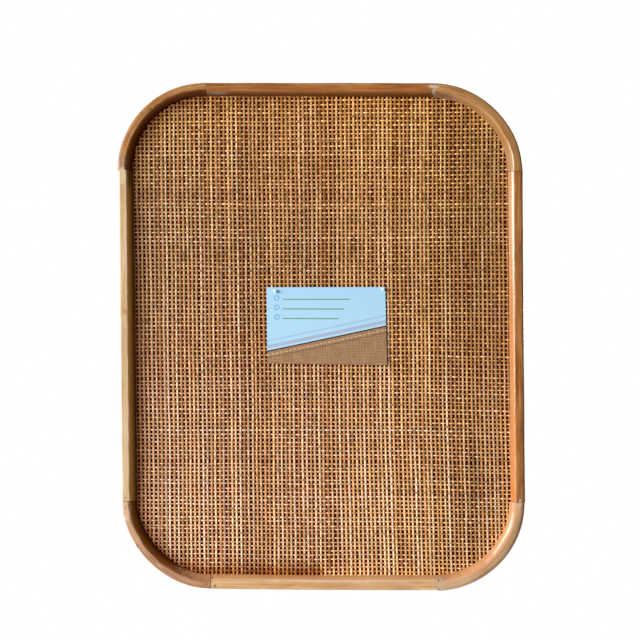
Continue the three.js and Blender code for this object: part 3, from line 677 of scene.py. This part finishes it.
def cane_material(name, upright):
    g = Graph(name)
    p = g.position()
    along = (2600, 2600, 70) if upright else (70, 2600, 2600)
    fibre = g.noise(g.mapped(p, along), 1.0, 3, 0.6)
    speck = g.noise(g.mapped(p, tuple(x * 0.35 for x in along), (3, 1, 7)), 1.0, 2, 0.5)
    tone = g.attr("tone", True)
    shade = g.math("MULTIPLY_ADD", fibre, 0.55, 0.72)
    both = g.node("ShaderNodeVectorMath", operation="SCALE")
    g.put(both.inputs[0], tone)
    g.put(both.inputs["Scale"], shade)
    base = g.mix(g.math("MULTIPLY", g.step(speck, 0.62, 0.76), 0.4), both.outputs[0], lin("#7a4a1e"))
    g.set("Base Color", base)
    g.set("Roughness", g.math("MULTIPLY_ADD", fibre, 0.2, 0.28))
    g.set("Specular IOR Level", 0.25)
    g.set("Coat Weight", 0.1)
    g.set("Coat Roughness", 0.15)
    g.bump(fibre, 0.3, 0.00008)
    return g.mat


def web():
    nx = int((2 * WEB_HX + 10) / PITCH_X)
    nz = int((2 * WEB_HZ + 10) / PITCH_Z)
    xs = (np.arange(nx) - (nx - 1) / 2) * PITCH_X
    zs = Z_MID + (np.arange(nz) - (nz - 1) / 2) * PITCH_Z
    warp, weft = [], []
    for i, x in enumerate(xs):
        warp.append(strand(True, i, x, Z_MID - WEB_HZ - 6, Z_MID + WEB_HZ + 6, zs[0], PITCH_Z, [0.27, 0.31, 0.26, 0.07, 0.02, 0.07]))
    for j, z in enumerate(zs):
        weft.append(strand(False, j, z, -WEB_HX - 6, WEB_HX + 6, xs[0], PITCH_X, [0.2, 0.30, 0.24, 0.09, 0.05, 0.12]))
    # runs of strands cut from the same cane share a tone, and the weave is paler towards its foot, where part of the
    # whitening is a painted sheen
    run = wobble(np.arange(nx, dtype=float), 9, 0.05)
    for i, (rings, col) in enumerate(warp):
        col *= 1 + run[i] * np.array([0.8, 1.0, 1.3])
    for items, sheen_and_bleach in ((warp, 0.0), (weft, 0.26)):
        for rings, col in items:
            t = np.clip((Z_TOP - rings[:, :, 2].mean(1) / MM) / FRAME_H, 0, 1)[:, None]
            right = np.clip(rings[:, :, 0].mean(1) / MM / FRAME_W + 0.5, 0, 1)[:, None]
            off = 2 * right - 1
            col *= (0.92 + 0.22 * t + 0.24 * t * t) * (1 + 0.16 * np.exp(-((t / 0.17) ** 2)) - 0.07 * np.exp(-(((t - 0.36) / 0.14) ** 2)))
            col *= np.where(off < 0, 0.95 - 0.20 * off ** 2, 1.0 - 0.42 * off ** 3) - (0.01 + 0.07 * t) * np.exp(-((off / 0.3) ** 2)) + 0.05 * np.exp(-(((off - 0.4) / 0.25) ** 2))
            col *= 1 + np.array([0.02, -0.01, -0.13]) * np.clip((off + 0.1) / 0.5, 0, 1)
            # painted shade and light along the frame: painted shade beside it, deepest as the frame's shadow at the
            # left, in the upper left corner and under the top rail, and painted light next to the right lip and at the
            # foot
            px, pz = np.abs(rings[:, :, 0].mean(1)) / MM, np.abs(rings[:, :, 2].mean(1) / MM - Z_MID)
            ox, oz = px - (WEB_HX - WEB_R), pz - (WEB_HZ - WEB_R)
            inset = np.where((ox > 0) & (oz > 0), WEB_R - np.hypot(np.maximum(ox, 0), np.maximum(oz, 0)), np.minimum(WEB_HX - px, WEB_HZ - pz))
            inset = np.maximum(inset - 3, 0)[:, None]
            east = np.clip((off - 0.6) / 0.3, 0, 1)
            rim = np.array([0.09, 0.13, 0.2]) * np.exp(-inset / 12) * (1 - 0.9 * east) - np.array([0.5, 0.42, 0.26]) * np.exp(-inset / 8) * east
            # painted shadow of the left side of the frame, wider towards the foot, and painted shade in the upper left
            # corner
            rim = rim + np.where(off < 0, np.array([0.76, 1.0, 1.12]) * (0.10 + 0.95 * t) * np.exp(-((inset / 10) ** 1.5)), 0.0)
            rim = rim + np.where((off < 0) & (t < 0.4) & (np.minimum(ox, oz) > 0)[:, None], np.array([0.24, 0.3, 0.36]) * np.exp(-((inset / 10) ** 1.5)), 0.0)
            foot = np.maximum((1 - t) * FRAME_H - 14, 0)
            # painted light on the weave right at the foot, and a slight painted shade just above it
            rim = rim + (np.array([0.02, 0.07, 0.15]) + np.array([0.1, 0.1, 0.1]) * right) * np.exp(-foot / 16) - np.array([0.62, 0.66, 0.56]) * np.exp(-foot / 5)
            # painted shade under the top rail
            head = np.maximum(t * FRAME_H - 12, 0)
            rim = rim + np.array([0.09, 0.16, 0.32]) * np.exp(-head / 16)
            # painted sheen: the weave is whiter towards its foot, most of all at the left, as if white light glanced
            # off it
            col *= 1 + np.array([0, 0.16, 0.52]) * t * (1.1 - 0.35 * right)
            # the crosswise strands are whitened towards the foot and the left: partly paler cane, partly a painted
            # sheen standing in for their glints
            col += (np.array(lin("#f5e6d2")[:3]) - col) * sheen_and_bleach * t * (1.15 - right)
            # the lower half is more mixed: bleached and orange strands side by side
            odd = rng.normal(0, 1)
            if odd > 0:
                fade = np.minimum(0.6, 0.38 * odd * t) * (1 - 2 * sheen_and_bleach * right)
                col += (np.array(lin("#f5e6d2")[:3]) - col) * fade
            else:
                col *= 1 + np.array([0.02, 0.12, 0.24]) * odd * t
            # more painted sheen: a little white light added towards the foot
            col += np.array([0.035, 0.04, 0.055]) * t ** 1.3 * (1.15 - 0.6 * right)
            col *= 1 + np.array([0.065, 0.115, 0.08]) * np.clip(1 - 2 * t, 0, 1)
            col *= 1 - np.array([0.03, 0.05, 0.13]) * np.exp(-(((t - 0.43) / 0.09) ** 2))
            # two darker runs of canes, left of the middle and near the right side
            col *= 1 - np.array([0.09, 0.12, 0.16]) * np.exp(-(((rings[:, :, 0].mean(1)[:, None] / MM - 146 - 11 * t) / 7) ** 4))
            col *= 1 - np.array([0.16, 0.2, 0.25]) * np.exp(-(((rings[:, :, 0].mean(1)[:, None] / MM + 71 - 3 * t) / 13) ** 4))
            # the painted shade and light along the frame is applied here
            col *= 1 - np.minimum(rim, np.array([0.71, 0.80, 0.88]))
            # a browner patch in the upper right and lower right corners, and warmer canes along the right side
            col *= 1 - np.array([0.09, 0.10, 0.10]) * np.exp(-(((off - 0.75) / 0.28) ** 2) - (((t - 0.09) / 0.1) ** 2))
            col *= 1 - np.array([0.08, 0.09, 0.12]) * np.exp(-(((off - 0.56) / 0.3) ** 2) - (((t - 0.93) / 0.06) ** 2))
            col *= 1 - np.array([-0.02, 0.03, 0.09]) * np.clip((off - 0.55) / 0.2, 0, 1) * np.exp(-(((t - 0.5) / 0.25) ** 2))
            # the uprights stand out more towards the foot and at the left, the crosswise strands towards the top and right
            up = np.clip(1 - 2.4 * t, 0, 1) * (0.4 + 0.6 * right)
            west = np.clip(-1.3 * off, 0, 1) * np.exp(-(((t - 0.45) / 0.2) ** 2))
            low = np.clip((off - 0.5) / 0.3, 0, 1) * np.clip((t - 0.4) / 0.3, 0, 1)
            col *= 1 + (0.045 * (2 * t - 1) - 0.08 * up + 0.05 * west - 0.02 * low if items is warp else -0.08 * (2 * t - 1) + 0.12 * up - 0.11 * west + 0.07 * low)
    # stained and pale lengths: (upright, position, from, to, strength, tone)
    for upright, at, low, high, power, tone in (
            (True, 150.4, -425, -338, 0.6, "#4a2f10"), (True, 154.6, -412, -362, 0.5, "#54350f"), (True, 129.0, -396, -384, 0.7, "#5a3512"),
            (False, -403.4, 62, 178, 0.8, "#6a3c0a"), (False, -407.6, 118, 165, 0.6, "#5f380c"), (False, -391.0, 120, 132, 0.7, "#5f380c"),
            (False, -340.2, -170, 112, 0.55, "#f4e8d6"), (False, -458.0, -160, -92, 0.6, "#f4e8d6"), (False, -66.0, -178, -135, 0.5, "#f4e8d6"),
            (False, -455.5, -120, -112, 0.8, "#54443a"), (True, -143.0, -118, -98, 0.5, "#8a4a14"), (False, -106.0, -150, -40, 0.3, "#8a521c")):
        line = (xs if upright else zs)
        col_at = (warp if upright else weft)[int(np.argmin(np.abs(line - at)))]
        where = col_at[0][:, :, 2 if upright else 0].mean(1) / MM
        mask = power * np.clip((where - low) / 5, 0, 1) * np.clip((high - where) / 5, 0, 1) * rng.uniform(0.55, 1.0, len(where))
        col_at[1][:] = col_at[1] + (np.array(lin(tone)[:3]) - col_at[1]) * mask[:, None]
    for label, items, upright in (("cane_warp", warp, True), ("cane_weft", weft, False)):
        m = cane_material(label, upright)
        # each strand is cut where it passes under the frame
        cut = []
        for rings, col in items:
            mid = rings.mean(1) / MM
            kept = np.flatnonzero(inside(mid[:, 0], mid[:, 2]))
            for part in np.split(kept, np.flatnonzero(np.diff(kept) > 1) + 1):
                if len(part) > 6:
                    cut.append((rings[part], col[part]))
        items = cut
        cuts = [len(items) * c // 4 for c in range(5)]
        for c in range(4):
            ob = strands(f"{label}_{c + 1}", items[cuts[c]:cuts[c + 1]], "cane_webbing")
            place(ob, "board", m, "cane", "cane_webbing")


web()


# ------------------------------------------------------------------ core and hardboard
def core_material():
    g = Graph("felt_core")
    p = g.position()
    fuzz = g.noise(g.mapped(p, (900, 900, 900)), 1.0, 5, 0.7)
    cloud = g.noise(g.mapped(p, (60, 60, 60), (2, 0, 5)), 1.0, 3, 0.6)
    base = g.ramp(g.math("MULTIPLY_ADD", cloud, 0.5, g.math("MULTIPLY", fuzz, 0.6)),
                  [(0.3, lin("#4a1202")), (0.6, lin("#661c03")), (0.85, lin("#7e2805"))])
    g.set("Base Color", base)
    g.set("Roughness", 0.96)
    g.set("Specular IOR Level", 0.05)
    g.bump(fuzz, 0.7, 0.0003)
    return g.mat


def hardboard_material():
    g = Graph("hardboard")
    p = g.position()
    sep = g.node("ShaderNodeSeparateXYZ")
    g.put(sep.inputs[0], p)
    x, z = sep.outputs[0], sep.outputs[2]
    # the cross-hatched imprint of the screen that the wet board was pressed on
    wx = g.math("SINE", g.math("MULTIPLY", x, 2 * math.pi / 0.0014))
    wz = g.math("SINE", g.math("MULTIPLY", z, 2 * math.pi / 0.0014))
    screen = g.math("MULTIPLY", g.math("MULTIPLY_ADD", wx, 0.5, 0.5), g.math("MULTIPLY_ADD", wz, 0.5, 0.5))
    fibre = g.noise(g.mapped(p, (420, 420, 420)), 1.0, 5, 0.7, 0.6)
    cloud = g.noise(g.mapped(p, (22, 22, 22), (4, 0, 1)), 1.0, 4, 0.6)
    fleck = g.noise(g.mapped(p, (1300, 1300, 350), (1, 2, 3)), 1.0, 2, 0.5)
    base = g.ramp(g.math("MULTIPLY_ADD", cloud, 0.55, g.math("MULTIPLY", fibre, 0.5)),
                  [(0.25, lin("#4f321b")), (0.52, lin("#6f4a2b")), (0.8, lin("#8a6440"))])
    base = g.mix(g.math("MULTIPLY", g.step(fleck, 0.62, 0.72), 0.45), base, lin("#a9855c"))
    base = g.mix(g.math("MULTIPLY", screen, 0.28), base, lin("#3c2412"))
    g.set("Base Color", base)
    g.set("Roughness", 0.82)
    g.bump(g.math("MULTIPLY_ADD", screen, -0.9, g.math("MULTIPLY", fibre, 0.6)), 0.6, 0.00025)
    return g.mat


def metal_material(name, colour, rough=0.32, wear="#6f6a62"):
    g = Graph(name)
    p = g.position()
    brush = g.noise(g.mapped(p, (900, 900, 5200)), 1.0, 3, 0.6)
    spot = g.noise(g.mapped(p, (700, 700, 700), (5, 3, 1)), 1.0, 4, 0.65)
    base = g.mix(g.math("MULTIPLY", g.step(spot, 0.56, 0.74), 0.55), lin(colour), lin(wear))
    g.set("Base Color", base)
    g.set("Metallic", 1.0)
    g.set("Roughness", g.math("MULTIPLY_ADD", brush, 0.22, g.math("MULTIPLY_ADD", spot, 0.2, rough - 0.2)))
    g.bump(brush, 0.15, 0.00005)
    return g.mat


def bare_wood():
    g = Graph("dowel_wood")
    p = g.position()
    ring = g.noise(g.mapped(p, (700, 700, 700)), 1.0, 4, 0.6, 0.5)
    g.set("Base Color", g.ramp(ring, [(0.3, lin("#b08d5c")), (0.6, lin("#cdb083")), (0.8, lin("#dcc49c"))]))
    g.set("Roughness", 0.75)
    g.bump(ring, 0.3, 0.0001)
    return g.mat


plated = metal_material("plated_steel", "#d0d2d3", 0.36)
dark_steel = metal_material("brad_steel", "#4a423c", 0.45, "#2b221b")
brass = metal_material("rivet_brass", "#c2a258", 0.34, "#7c6335")
shown = {"pin_core": core_material(), "back_panel": hardboard_material()}
dowel = bare_wood()
for node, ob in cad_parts.items():
    if node.startswith("dowel_"):
        shown[node] = dowel
    elif node.startswith("brad_"):
        shown[node] = dark_steel
for node, material in shown.items():
    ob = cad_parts[node]
    ob.data.materials.clear()
    ob.data.materials.append(material)


# ------------------------------------------------------------------ retaining points
def retainer(name, side, s):
    """A driven steel point: its sharp end in the pole, a rib pressed along its middle and its free end a little lifted."""
    at, inward, _ = SIDES[side]
    u0, u1, wide, thick, lie = 4.8, 17.0, 3.0, 0.25, -3.0
    line = [u0, 5.6, 6.4, 7.2, 8.0, 8.8, 9.2, 9.6, 10.0, 10.6, 11.4, 12.2, 13.0, 13.7, 14.2, 14.6, 15.0, 15.4, 15.8, 16.15, 16.45, 16.7, 16.88, 16.97, u1]
    cross = (-1.0, -0.93, -0.7, -0.45, -0.3, -0.15, 0.0, 0.15, 0.3, 0.45, 0.7, 0.93, 1.0)
    verts, faces = [], []
    for u in line:
        half = 0.7 + (wide - 0.7) * min(1.0, (u - u0) / 2.4)
        r, d = 1.4, u1 - u
        if d < r:
            half = wide - r + math.sqrt(max(0.0, r * r - (r - d) ** 2))
        f = min(1.0, max(0.0, min(u - 9.0, 15.2 - u) / 1.0))
        rib = 0.24 * f * f * (3 - 2 * f)
        lift = 0.6 * max(0.0, (u - 12.4) / 4.6) ** 2
        for face in (1, -1):
            for c in cross[::face]:
                v = c * half
                y = lie + face * thick * (0.5 if abs(c) == 1 else 1.0) + rib * math.exp(-((v / 0.62) ** 2)) + lift
                x, z = at(s + v)
                verts.append(((x + inward[0] * u) * MM, y * MM, (z + inward[1] * u) * MM))
    n = 2 * len(cross)
    for i in range(len(line) - 1):
        for k in range(n):
            l = (k + 1) % n
            faces.append((i * n + k, i * n + l, (i + 1) * n + l, (i + 1) * n + k))
    faces.append(tuple(range(n)))
    faces.append(tuple((len(line) - 1) * n + k for k in reversed(range(n))))
    ob = build(name, verts, faces)
    outward(ob)
    ob.data.set_sharp_from_angle(angle=math.radians(50))
    return ob


for side, s, tag in (("top", -62, "left"), ("top", 62, "right"), ("bottom", -62, "left"), ("bottom", 62, "right"),
                     ("left", -112, "lower"), ("left", 0, "middle"), ("left", 112, "upper"),
                     ("right", -112, "lower"), ("right", 0, "middle"), ("right", 112, "upper")):
    place(retainer(f"point_{side}_{tag}", side, s), "board", plated, "plated_steel", f"retainer_{side}_{tag}")


# ------------------------------------------------------------------ hangers
HANGER_Z, BAR_Y = -62.0, -1.85
STRAP_W, STRAP_L = 9.0, 9.5
RING_HALF, RING_LEG, RING_BEND, RING_R = 6.8, 10.0, 1.6, 0.8


def hanger_ring(name, x):
    path = []

    def arc(cx, cz, r, a0, a1, n):
        for i in range(n + 1):
            a = math.radians(a0 + (a1 - a0) * i / n)
            path.append((cx + r * math.cos(a), cz + r * math.sin(a), math.cos(a), math.sin(a)))

    arc(RING_HALF - RING_BEND, -RING_BEND, RING_BEND, 90, 0, 10)
    for f in (0.25, 0.5, 0.75):
        path.append((RING_HALF, -RING_BEND + f * (RING_BEND - RING_LEG), 1, 0))
    arc(0, -RING_LEG, RING_HALF, 0, -180, 44)
    for f in (0.25, 0.5, 0.75):
        path.append((-RING_HALF, -RING_LEG + f * (RING_LEG - RING_BEND), -1, 0))
    arc(-RING_HALF + RING_BEND, -RING_BEND, RING_BEND, 180, 90, 10)
    for f in (0.25, 0.5, 0.75):
        path.append(((-RING_HALF + RING_BEND) * (1 - 2 * f), 0, 0, 1))
    n = 20
    verts, faces = [], []
    for px, pz, nx, nz in path:
        for k in range(n):
            a = 2 * math.pi * k / n
            verts.append(((x + px + RING_R * math.cos(a) * nx) * MM, (BAR_Y + RING_R * math.sin(a)) * MM,
                          (HANGER_Z + pz + RING_R * math.cos(a) * nz) * MM))
    m = len(path)
    for i in range(m):
        j = (i + 1) % m
        for k in range(n):
            l = (k + 1) % n
            faces.append((i * n + k, i * n + l, j * n + l, j * n + k))
    ob = build(name, verts, faces)
    outward(ob)
    return ob


def hanger_strap(name, x):
    """A plate with a rounded end, rolled round the ring's bar."""
    ri, ro = 0.98, 1.45
    mid, half_t = (ri + ro) / 2, (ro - ri) / 2
    line = []  # (y, z, normal y, normal z, half width)
    for i in range(15):
        z = -STRAP_L * (1 - i / 14)
        d = z + STRAP_L
        r = 3.2
        w = STRAP_W / 2 if d >= r else STRAP_W / 2 - r + math.sqrt(max(0.0, r * r - (r - d) ** 2))
        line.append((BAR_Y - mid, z, -1, 0, max(w, 1.3)))
    for i in range(1, 37):
        f = math.radians(280) * i / 36
        line.append((BAR_Y - mid * math.cos(f), mid * math.sin(f), -math.cos(f), math.sin(f), STRAP_W / 2))
    # outline of the plate's thickness and width at each station, with eased edges
    e = 0.1
    verts, faces = [], []
    for i, (y, z, ny, nz, w) in enumerate(line):
        t = half_t * (0.7 if i in (0, len(line) - 1) else 1.0)
        for a, b in ((-w + e, t), (0, t), (w - e, t), (w, t - e), (w, -t + e), (w - e, -t), (0, -t), (-w + e, -t), (-w, -t + e), (-w, t - e)):
            verts.append(((x + a) * MM, (y + ny * b) * MM, (HANGER_Z + z + nz * b) * MM))
    n = 10
    for i in range(len(line) - 1):
        for k in range(n):
            l = (k + 1) % n
            faces.append((i * n + k, i * n + l, (i + 1) * n + l, (i + 1) * n + k))
    faces.append(tuple(range(n)))
    faces.append(tuple((len(line) - 1) * n + k for k in reversed(range(n))))
    ob = build(name, verts, faces)
    outward(ob)
    ob.data.set_sharp_from_angle(angle=math.radians(40))
    return ob


def hanger_rivet(name, x):
    head = BAR_Y - 0.98 + 0.05
    low = -5.8
    profile = [(0, low + 0.1), (2.0, low + 0.1), (2.2, low + 0.22), (2.18, low + 0.36), (1.4, low + 0.75), (1.4, head - 0.02), (1.42, head),
               (2.38, head), (2.48, head + 0.06), (2.5, head + 0.16), (2.42, head + 0.3), (2.15, head + 0.46), (1.7, head + 0.62),
               (1.15, head + 0.73), (0.75, head + 0.78), (0.68, head + 0.70), (0.5, head + 0.62), (0.25, head + 0.59), (0, head + 0.58)]
    return lathe(name, profile, (x, 0, HANGER_Z - 6.0), (0, 1, 0), 44)


for hand, x in (("left", -118.0), ("right", 118.0)):
    place(hanger_ring(f"ring_{hand}_wire", x), f"ring_{hand}", plated, "plated_steel", f"hanger_ring_{hand}")
    place(hanger_strap(f"strap_{hand}_plate", x), "board", plated, "plated_steel", f"hanger_strap_{hand}")
    place(hanger_rivet(f"rivet_{hand}_turned", x), "board", brass, "rivet_brass", f"hanger_rivet_{hand}")


# ------------------------------------------------------------------ card
CARD_W, CARD_H, CARD_X, CARD_Z = 120.0, 78.0, 5.0, -237.0
CARD_Y, CARD_T = -11.5, 0.4
# how far each corner is out of square: (u, v) to (across, up)
CARD_SKEW = {(0, 0): (-0.4, 1.6), (1, 0): (0.0, -0.4), (0, 1): (-0.9, 0.3), (1, 1): (-1.5, 0.2)}


def card_bow(u, v):
    """How far the card stands off the weave: held at its top corners, its foot lifts a little."""
    return 0.12 + 1.1 * (1 - v) ** 2 * (0.55 + 0.45 * u) + 0.16 * math.sin(math.pi * u) * v


def card():
    nu, nv = 48, 32
    verts, faces, uvs, kinds = [], [], [], []
    for side in (0, 1):
        for j in range(nv + 1):
            for i in range(nu + 1):
                u, v = i / nu, j / nv
                y = CARD_Y - card_bow(u, v) + (-CARD_T / 2 if side == 0 else CARD_T / 2)
                dx, dz = (sum((u if a else 1 - u) * (v if b else 1 - v) * d[m] for (a, b), d in CARD_SKEW.items()) for m in (0, 1))
                verts.append(((CARD_X + dx + (u - 0.5) * CARD_W) * MM, y * MM, (CARD_Z + dz + (v - 0.5) * CARD_H) * MM))
    n = (nu + 1) * (nv + 1)

    def at(i, j, side):
        return side * n + j * (nu + 1) + i

    def where(*ids):
        return [((k % n) % (nu + 1) / nu, (k % n) // (nu + 1) / nv) for k in ids]

    for j in range(nv):
        for i in range(nu):
            f = (at(i, j, 0), at(i + 1, j, 0), at(i + 1, j + 1, 0), at(i, j + 1, 0))
            faces.append(f); uvs += where(*f); kinds.append(0)
            f = (at(i, j, 1), at(i, j + 1, 1), at(i + 1, j + 1, 1), at(i + 1, j, 1))
            faces.append(f); uvs += where(*f); kinds.append(1)
    rim = [(i, 0) for i in range(nu)] + [(nu, j) for j in range(nv)] + [(i, nv) for i in range(nu, 0, -1)] + [(0, j) for j in range(nv, 0, -1)]
    for (i0, j0), (i1, j1) in zip(rim, rim[1:] + rim[:1]):
        f = (at(i0, j0, 0), at(i0, j0, 1), at(i1, j1, 1), at(i1, j1, 0))
        faces.append(f); uvs += where(*f); kinds.append(1)
    ob = build("memo_card_sheet", verts, faces)
    uv = ob.data.uv_layers.new(name="print")
    uv.data.foreach_set("uv", np.array(uvs, np.float32).ravel())
    ob.data.polygons.foreach_set("material_index", np.array(kinds, np.int32))
    outward(ob)
    ob.data.set_sharp_from_angle(angle=math.radians(50))
    return ob


def print_material():
    """A plain printed memo card: pale blue ground with tick circles and ruled lines, and a slanted foot printed as hemmed linen under a banded edge."""
    g = Graph("card_print")
    uv = g.uv("print")
    sep = g.node("ShaderNodeSeparateXYZ")
    g.put(sep.inputs[0], uv)
    u, v = sep.outputs[0], sep.outputs[1]
    grain = g.noise(g.mapped(uv, (300, 200, 1)), 1.0, 3, 0.6)
    base = g.mix(grain, lin("#aadbfb"), lin("#b8e4fe"))
    base = g.mix(g.math("MULTIPLY", g.step(v, 0.45, 1.0), 0.35), base, lin("#a6d8fc"))
    # ruled lines, each behind a tick circle
    for row in (0.86, 0.735, 0.61):
        on_row = g.math("COMPARE", v, row - 0.018, 0.0075)
        span = g.math("MULTIPLY", g.math("GREATER_THAN", u, 0.135), g.math("LESS_THAN", u, 0.70 - (0.86 - row) * 0.4))
        base = g.mix(g.math("MULTIPLY", g.math("MULTIPLY", on_row, span), 0.85), base, lin("#5c9a52"))
        n = g.node("ShaderNodeVectorMath", operation="LENGTH")
        g.put(n.inputs[0], g.mapped(uv, (CARD_W, CARD_H, 0), (-0.085 * CARD_W, -row * CARD_H, 0)))
        ring = g.math("COMPARE", n.outputs["Value"], 2.3, 0.42)
        base = g.mix(g.math("MULTIPLY", ring, 0.85), base, lin("#3c9fd2"))
    # slanted foot: edge falls from right to left
    edge = g.math("SUBTRACT", g.math("MULTIPLY_ADD", u, 0.34, 0.16), v)
    for low, high, tone, power in ((-0.150, -0.118, "#a6bde2", 0.7), (-0.086, -0.030, "#a9b6d4", 0.85)):
        band = g.math("MULTIPLY", g.step(edge, low, low + 0.012), g.math("SUBTRACT", 1.0, g.step(edge, high - 0.012, high)))
        base = g.mix(g.math("MULTIPLY", band, power), base, lin(tone))
    # linen: crossing threads with slubs
    slub_u = g.noise(g.mapped(uv, (9, 170, 1)), 1.0, 3, 0.6)
    slub_v = g.noise(g.mapped(uv, (260, 6, 1), (7, 3, 0)), 1.0, 3, 0.6)
    weft = g.math("SINE", g.math("MULTIPLY_ADD", v, CARD_H * 2 * math.pi / 1.55, g.math("MULTIPLY", slub_v, 2.5)))
    warp = g.math("SINE", g.math("MULTIPLY_ADD", u, CARD_W * 2 * math.pi / 1.7, g.math("MULTIPLY", slub_u, 2.5)))
    cloth = g.math("MULTIPLY_ADD", g.math("ADD", weft, warp), 0.11, 0.5)
    cloth = g.math("MULTIPLY_ADD", g.math("SUBTRACT", slub_u, 0.5), 0.9, cloth)
    cloth = g.math("MULTIPLY_ADD", g.math("SUBTRACT", slub_v, 0.5), 0.9, cloth)
    linen = g.ramp(cloth, [(0.15, lin("#6f4a2f")), (0.5, lin("#a37c59")), (0.85, lin("#c9a682"))])
    # its hem: a fold line and a row of stitches
    fold = g.math("COMPARE", edge, 0.085, 0.006)
    linen = g.mix(g.math("MULTIPLY", fold, 0.55), linen, lin("#5f3b22"))
    dash = g.math("LESS_THAN", g.math("FRACT", g.math("MULTIPLY", u, CARD_W / 4.4)), 0.66)
    stitch = g.math("MULTIPLY", g.math("COMPARE", edge, 0.048, 0.0065), dash)
    linen = g.mix(g.math("MULTIPLY", stitch, 0.8), linen, lin("#dcc6a6"))
    base = g.mix(g.step(edge, -0.012, -0.006), base, lin("#4a2413"))
    base = g.mix(g.step(edge, 0.004, 0.012), base, linen)
    g.set("Base Color", base)
    g.set("Roughness", 0.42)
    g.set("Coat Weight", 0.1)
    g.bump(grain, 0.1, 0.00003)
    return g.mat


def paper_material():
    g = Graph("card_stock")
    p = g.position()
    pulp = g.noise(g.mapped(p, (1500, 1500, 1500)), 1.0, 4, 0.65)
    g.set("Base Color", g.mix(pulp, lin("#e6e6e0"), lin("#f4f4f0")))
    g.set("Roughness", 0.8)
    g.bump(pulp, 0.2, 0.00004)
    return g.mat


sheet = card()
place(sheet, "board", print_material(), "card", "memo_card")
sheet.data.materials.append(paper_material())


# ------------------------------------------------------------------ pins
def pearl_material():
    g = Graph("pin_pearl")
    p = g.position()
    swirl = g.noise(g.mapped(p, (420, 420, 420)), 1.0, 4, 0.6, 1.2)
    g.set("Base Color", g.mix(swirl, lin("#dbe9f2"), lin("#f6fafb")))
    g.set("Roughness", g.math("MULTIPLY_ADD", swirl, 0.12, 0.12))
    g.set("Coat Weight", 0.5)
    g.set("Coat Roughness", 0.08)
    return g.mat


pearl = pearl_material()
TILT = math.radians(40)
DOWN = (0, math.cos(TILT), -math.sin(TILT))
for hand, x, z in (("left", -46.9, -201.5), ("right", 61.6, -199.7)):
    centre = (x, -13.55, z)
    R = 1.7
    ball = [(0, -R)]
    for i in range(1, 25):
        a = math.pi - math.pi * i / 28
        ball.append((R * math.sin(a), R * math.cos(a)))
    ball += [(0.72, 1.52), (0.70, 1.66), (0.62, 1.74), (0.42, 1.76), (0, 1.76)]
    place(lathe(f"pin_{hand}_pearl", ball, centre, DOWN, 36), f"pin_{hand}", pearl, "pin_head", f"pin_head_{hand}")
    needle = [(0, 1.5), (0.33, 1.5), (0.35, 1.6), (0.35, 6.6), (0.33, 7.2), (0.24, 7.9), (0.12, 8.45), (0.03, 8.75), (0, 8.8)]
    place(lathe(f"pin_{hand}_steel", needle, centre, DOWN, 20), f"pin_{hand}", plated, "plated_steel", f"pin_needle_{hand}")


# ------------------------------------------------------------------ floor and light
def floor_material():
    g = Graph("floor")
    p = g.position()
    soft = g.noise(g.mapped(p, (3, 3, 3)), 1.0, 2, 0.5)
    g.set("Base Color", g.mix(soft, lin("#f1f0ee"), lin("#f6f5f3")))
    g.set("Roughness", 0.9)
    # it fades into the backdrop towards its rim
    far = g.node("ShaderNodeVectorMath", operation="LENGTH")
    g.put(far.inputs[0], g.mapped(p, (1, 1, 0)))
    clear = g.node("ShaderNodeBsdfTransparent")
    both = g.node("ShaderNodeMixShader")
    g.put(both.inputs[0], g.step(far.outputs["Value"], 0.75, 1.65))
    g.put(both.inputs[1], g.bsdf.outputs[0])
    g.put(both.inputs[2], clear.outputs[0])
    g.put(g.out.inputs[0], both.outputs[0])
    return g.mat


rim_n = 96
ring_v = [(1.7 * math.cos(2 * math.pi * k / rim_n), 1.7 * math.sin(2 * math.pi * k / rim_n), -1.15) for k in range(rim_n)]
floor = build("floor", ring_v, [tuple(range(rim_n))], smooth=False)
floor.data.materials.append(floor_material())

world = bpy.data.worlds.new("studio")
world.use_nodes = True
bpy.context.scene.world = world
wt = world.node_tree
wt.nodes.clear()
w_out = wt.nodes.new("ShaderNodeOutputWorld")
seen = wt.nodes.new("ShaderNodeBackground")
seen.inputs[0].default_value, seen.inputs[1].default_value = (1, 1, 1, 1), 1.0
fill = wt.nodes.new("ShaderNodeBackground")
fill.inputs[0].default_value, fill.inputs[1].default_value = (1.0, 0.90, 0.81, 1), 0.142
path = wt.nodes.new("ShaderNodeLightPath")
pick = wt.nodes.new("ShaderNodeMixShader")
wt.links.new(path.outputs["Is Camera Ray"], pick.inputs[0])
wt.links.new(fill.outputs[0], pick.inputs[1])
wt.links.new(seen.outputs[0], pick.inputs[2])
wt.links.new(pick.outputs[0], w_out.inputs[0])


def area_light(name, where, aim, wide, tall, power, colour=(1, 1, 1)):
    data = bpy.data.lights.new(name, "AREA")
    data.shape, data.size, data.size_y, data.energy, data.color = "RECTANGLE", wide, tall, power, colour
    ob = bpy.data.objects.new(name, data)
    ob.location = where
    ob.rotation_euler = (Vector(aim) - Vector(where)).to_track_quat("-Z", "Y").to_euler()
    ob.visible_camera = False
    bpy.context.scene.collection.objects.link(ob)
    return ob


# a tall window far to the left, a little above, and weak fills behind the board
middle = Vector((0, -0.01, Z_MID * MM))
area_light("key", middle + Vector((-0.82, -0.535, 0.20)) * 5.0, middle, 3.4, 2.6, 410, (1.0, 0.985, 0.96))
area_light("back_fill", middle + Vector((0.2, 3.3, 0.7)), middle, 1.6, 1.6, 85)
area_light("side_fill", middle + Vector((1.5, 2.2, 0.35)), middle, 0.9, 0.9, 40)
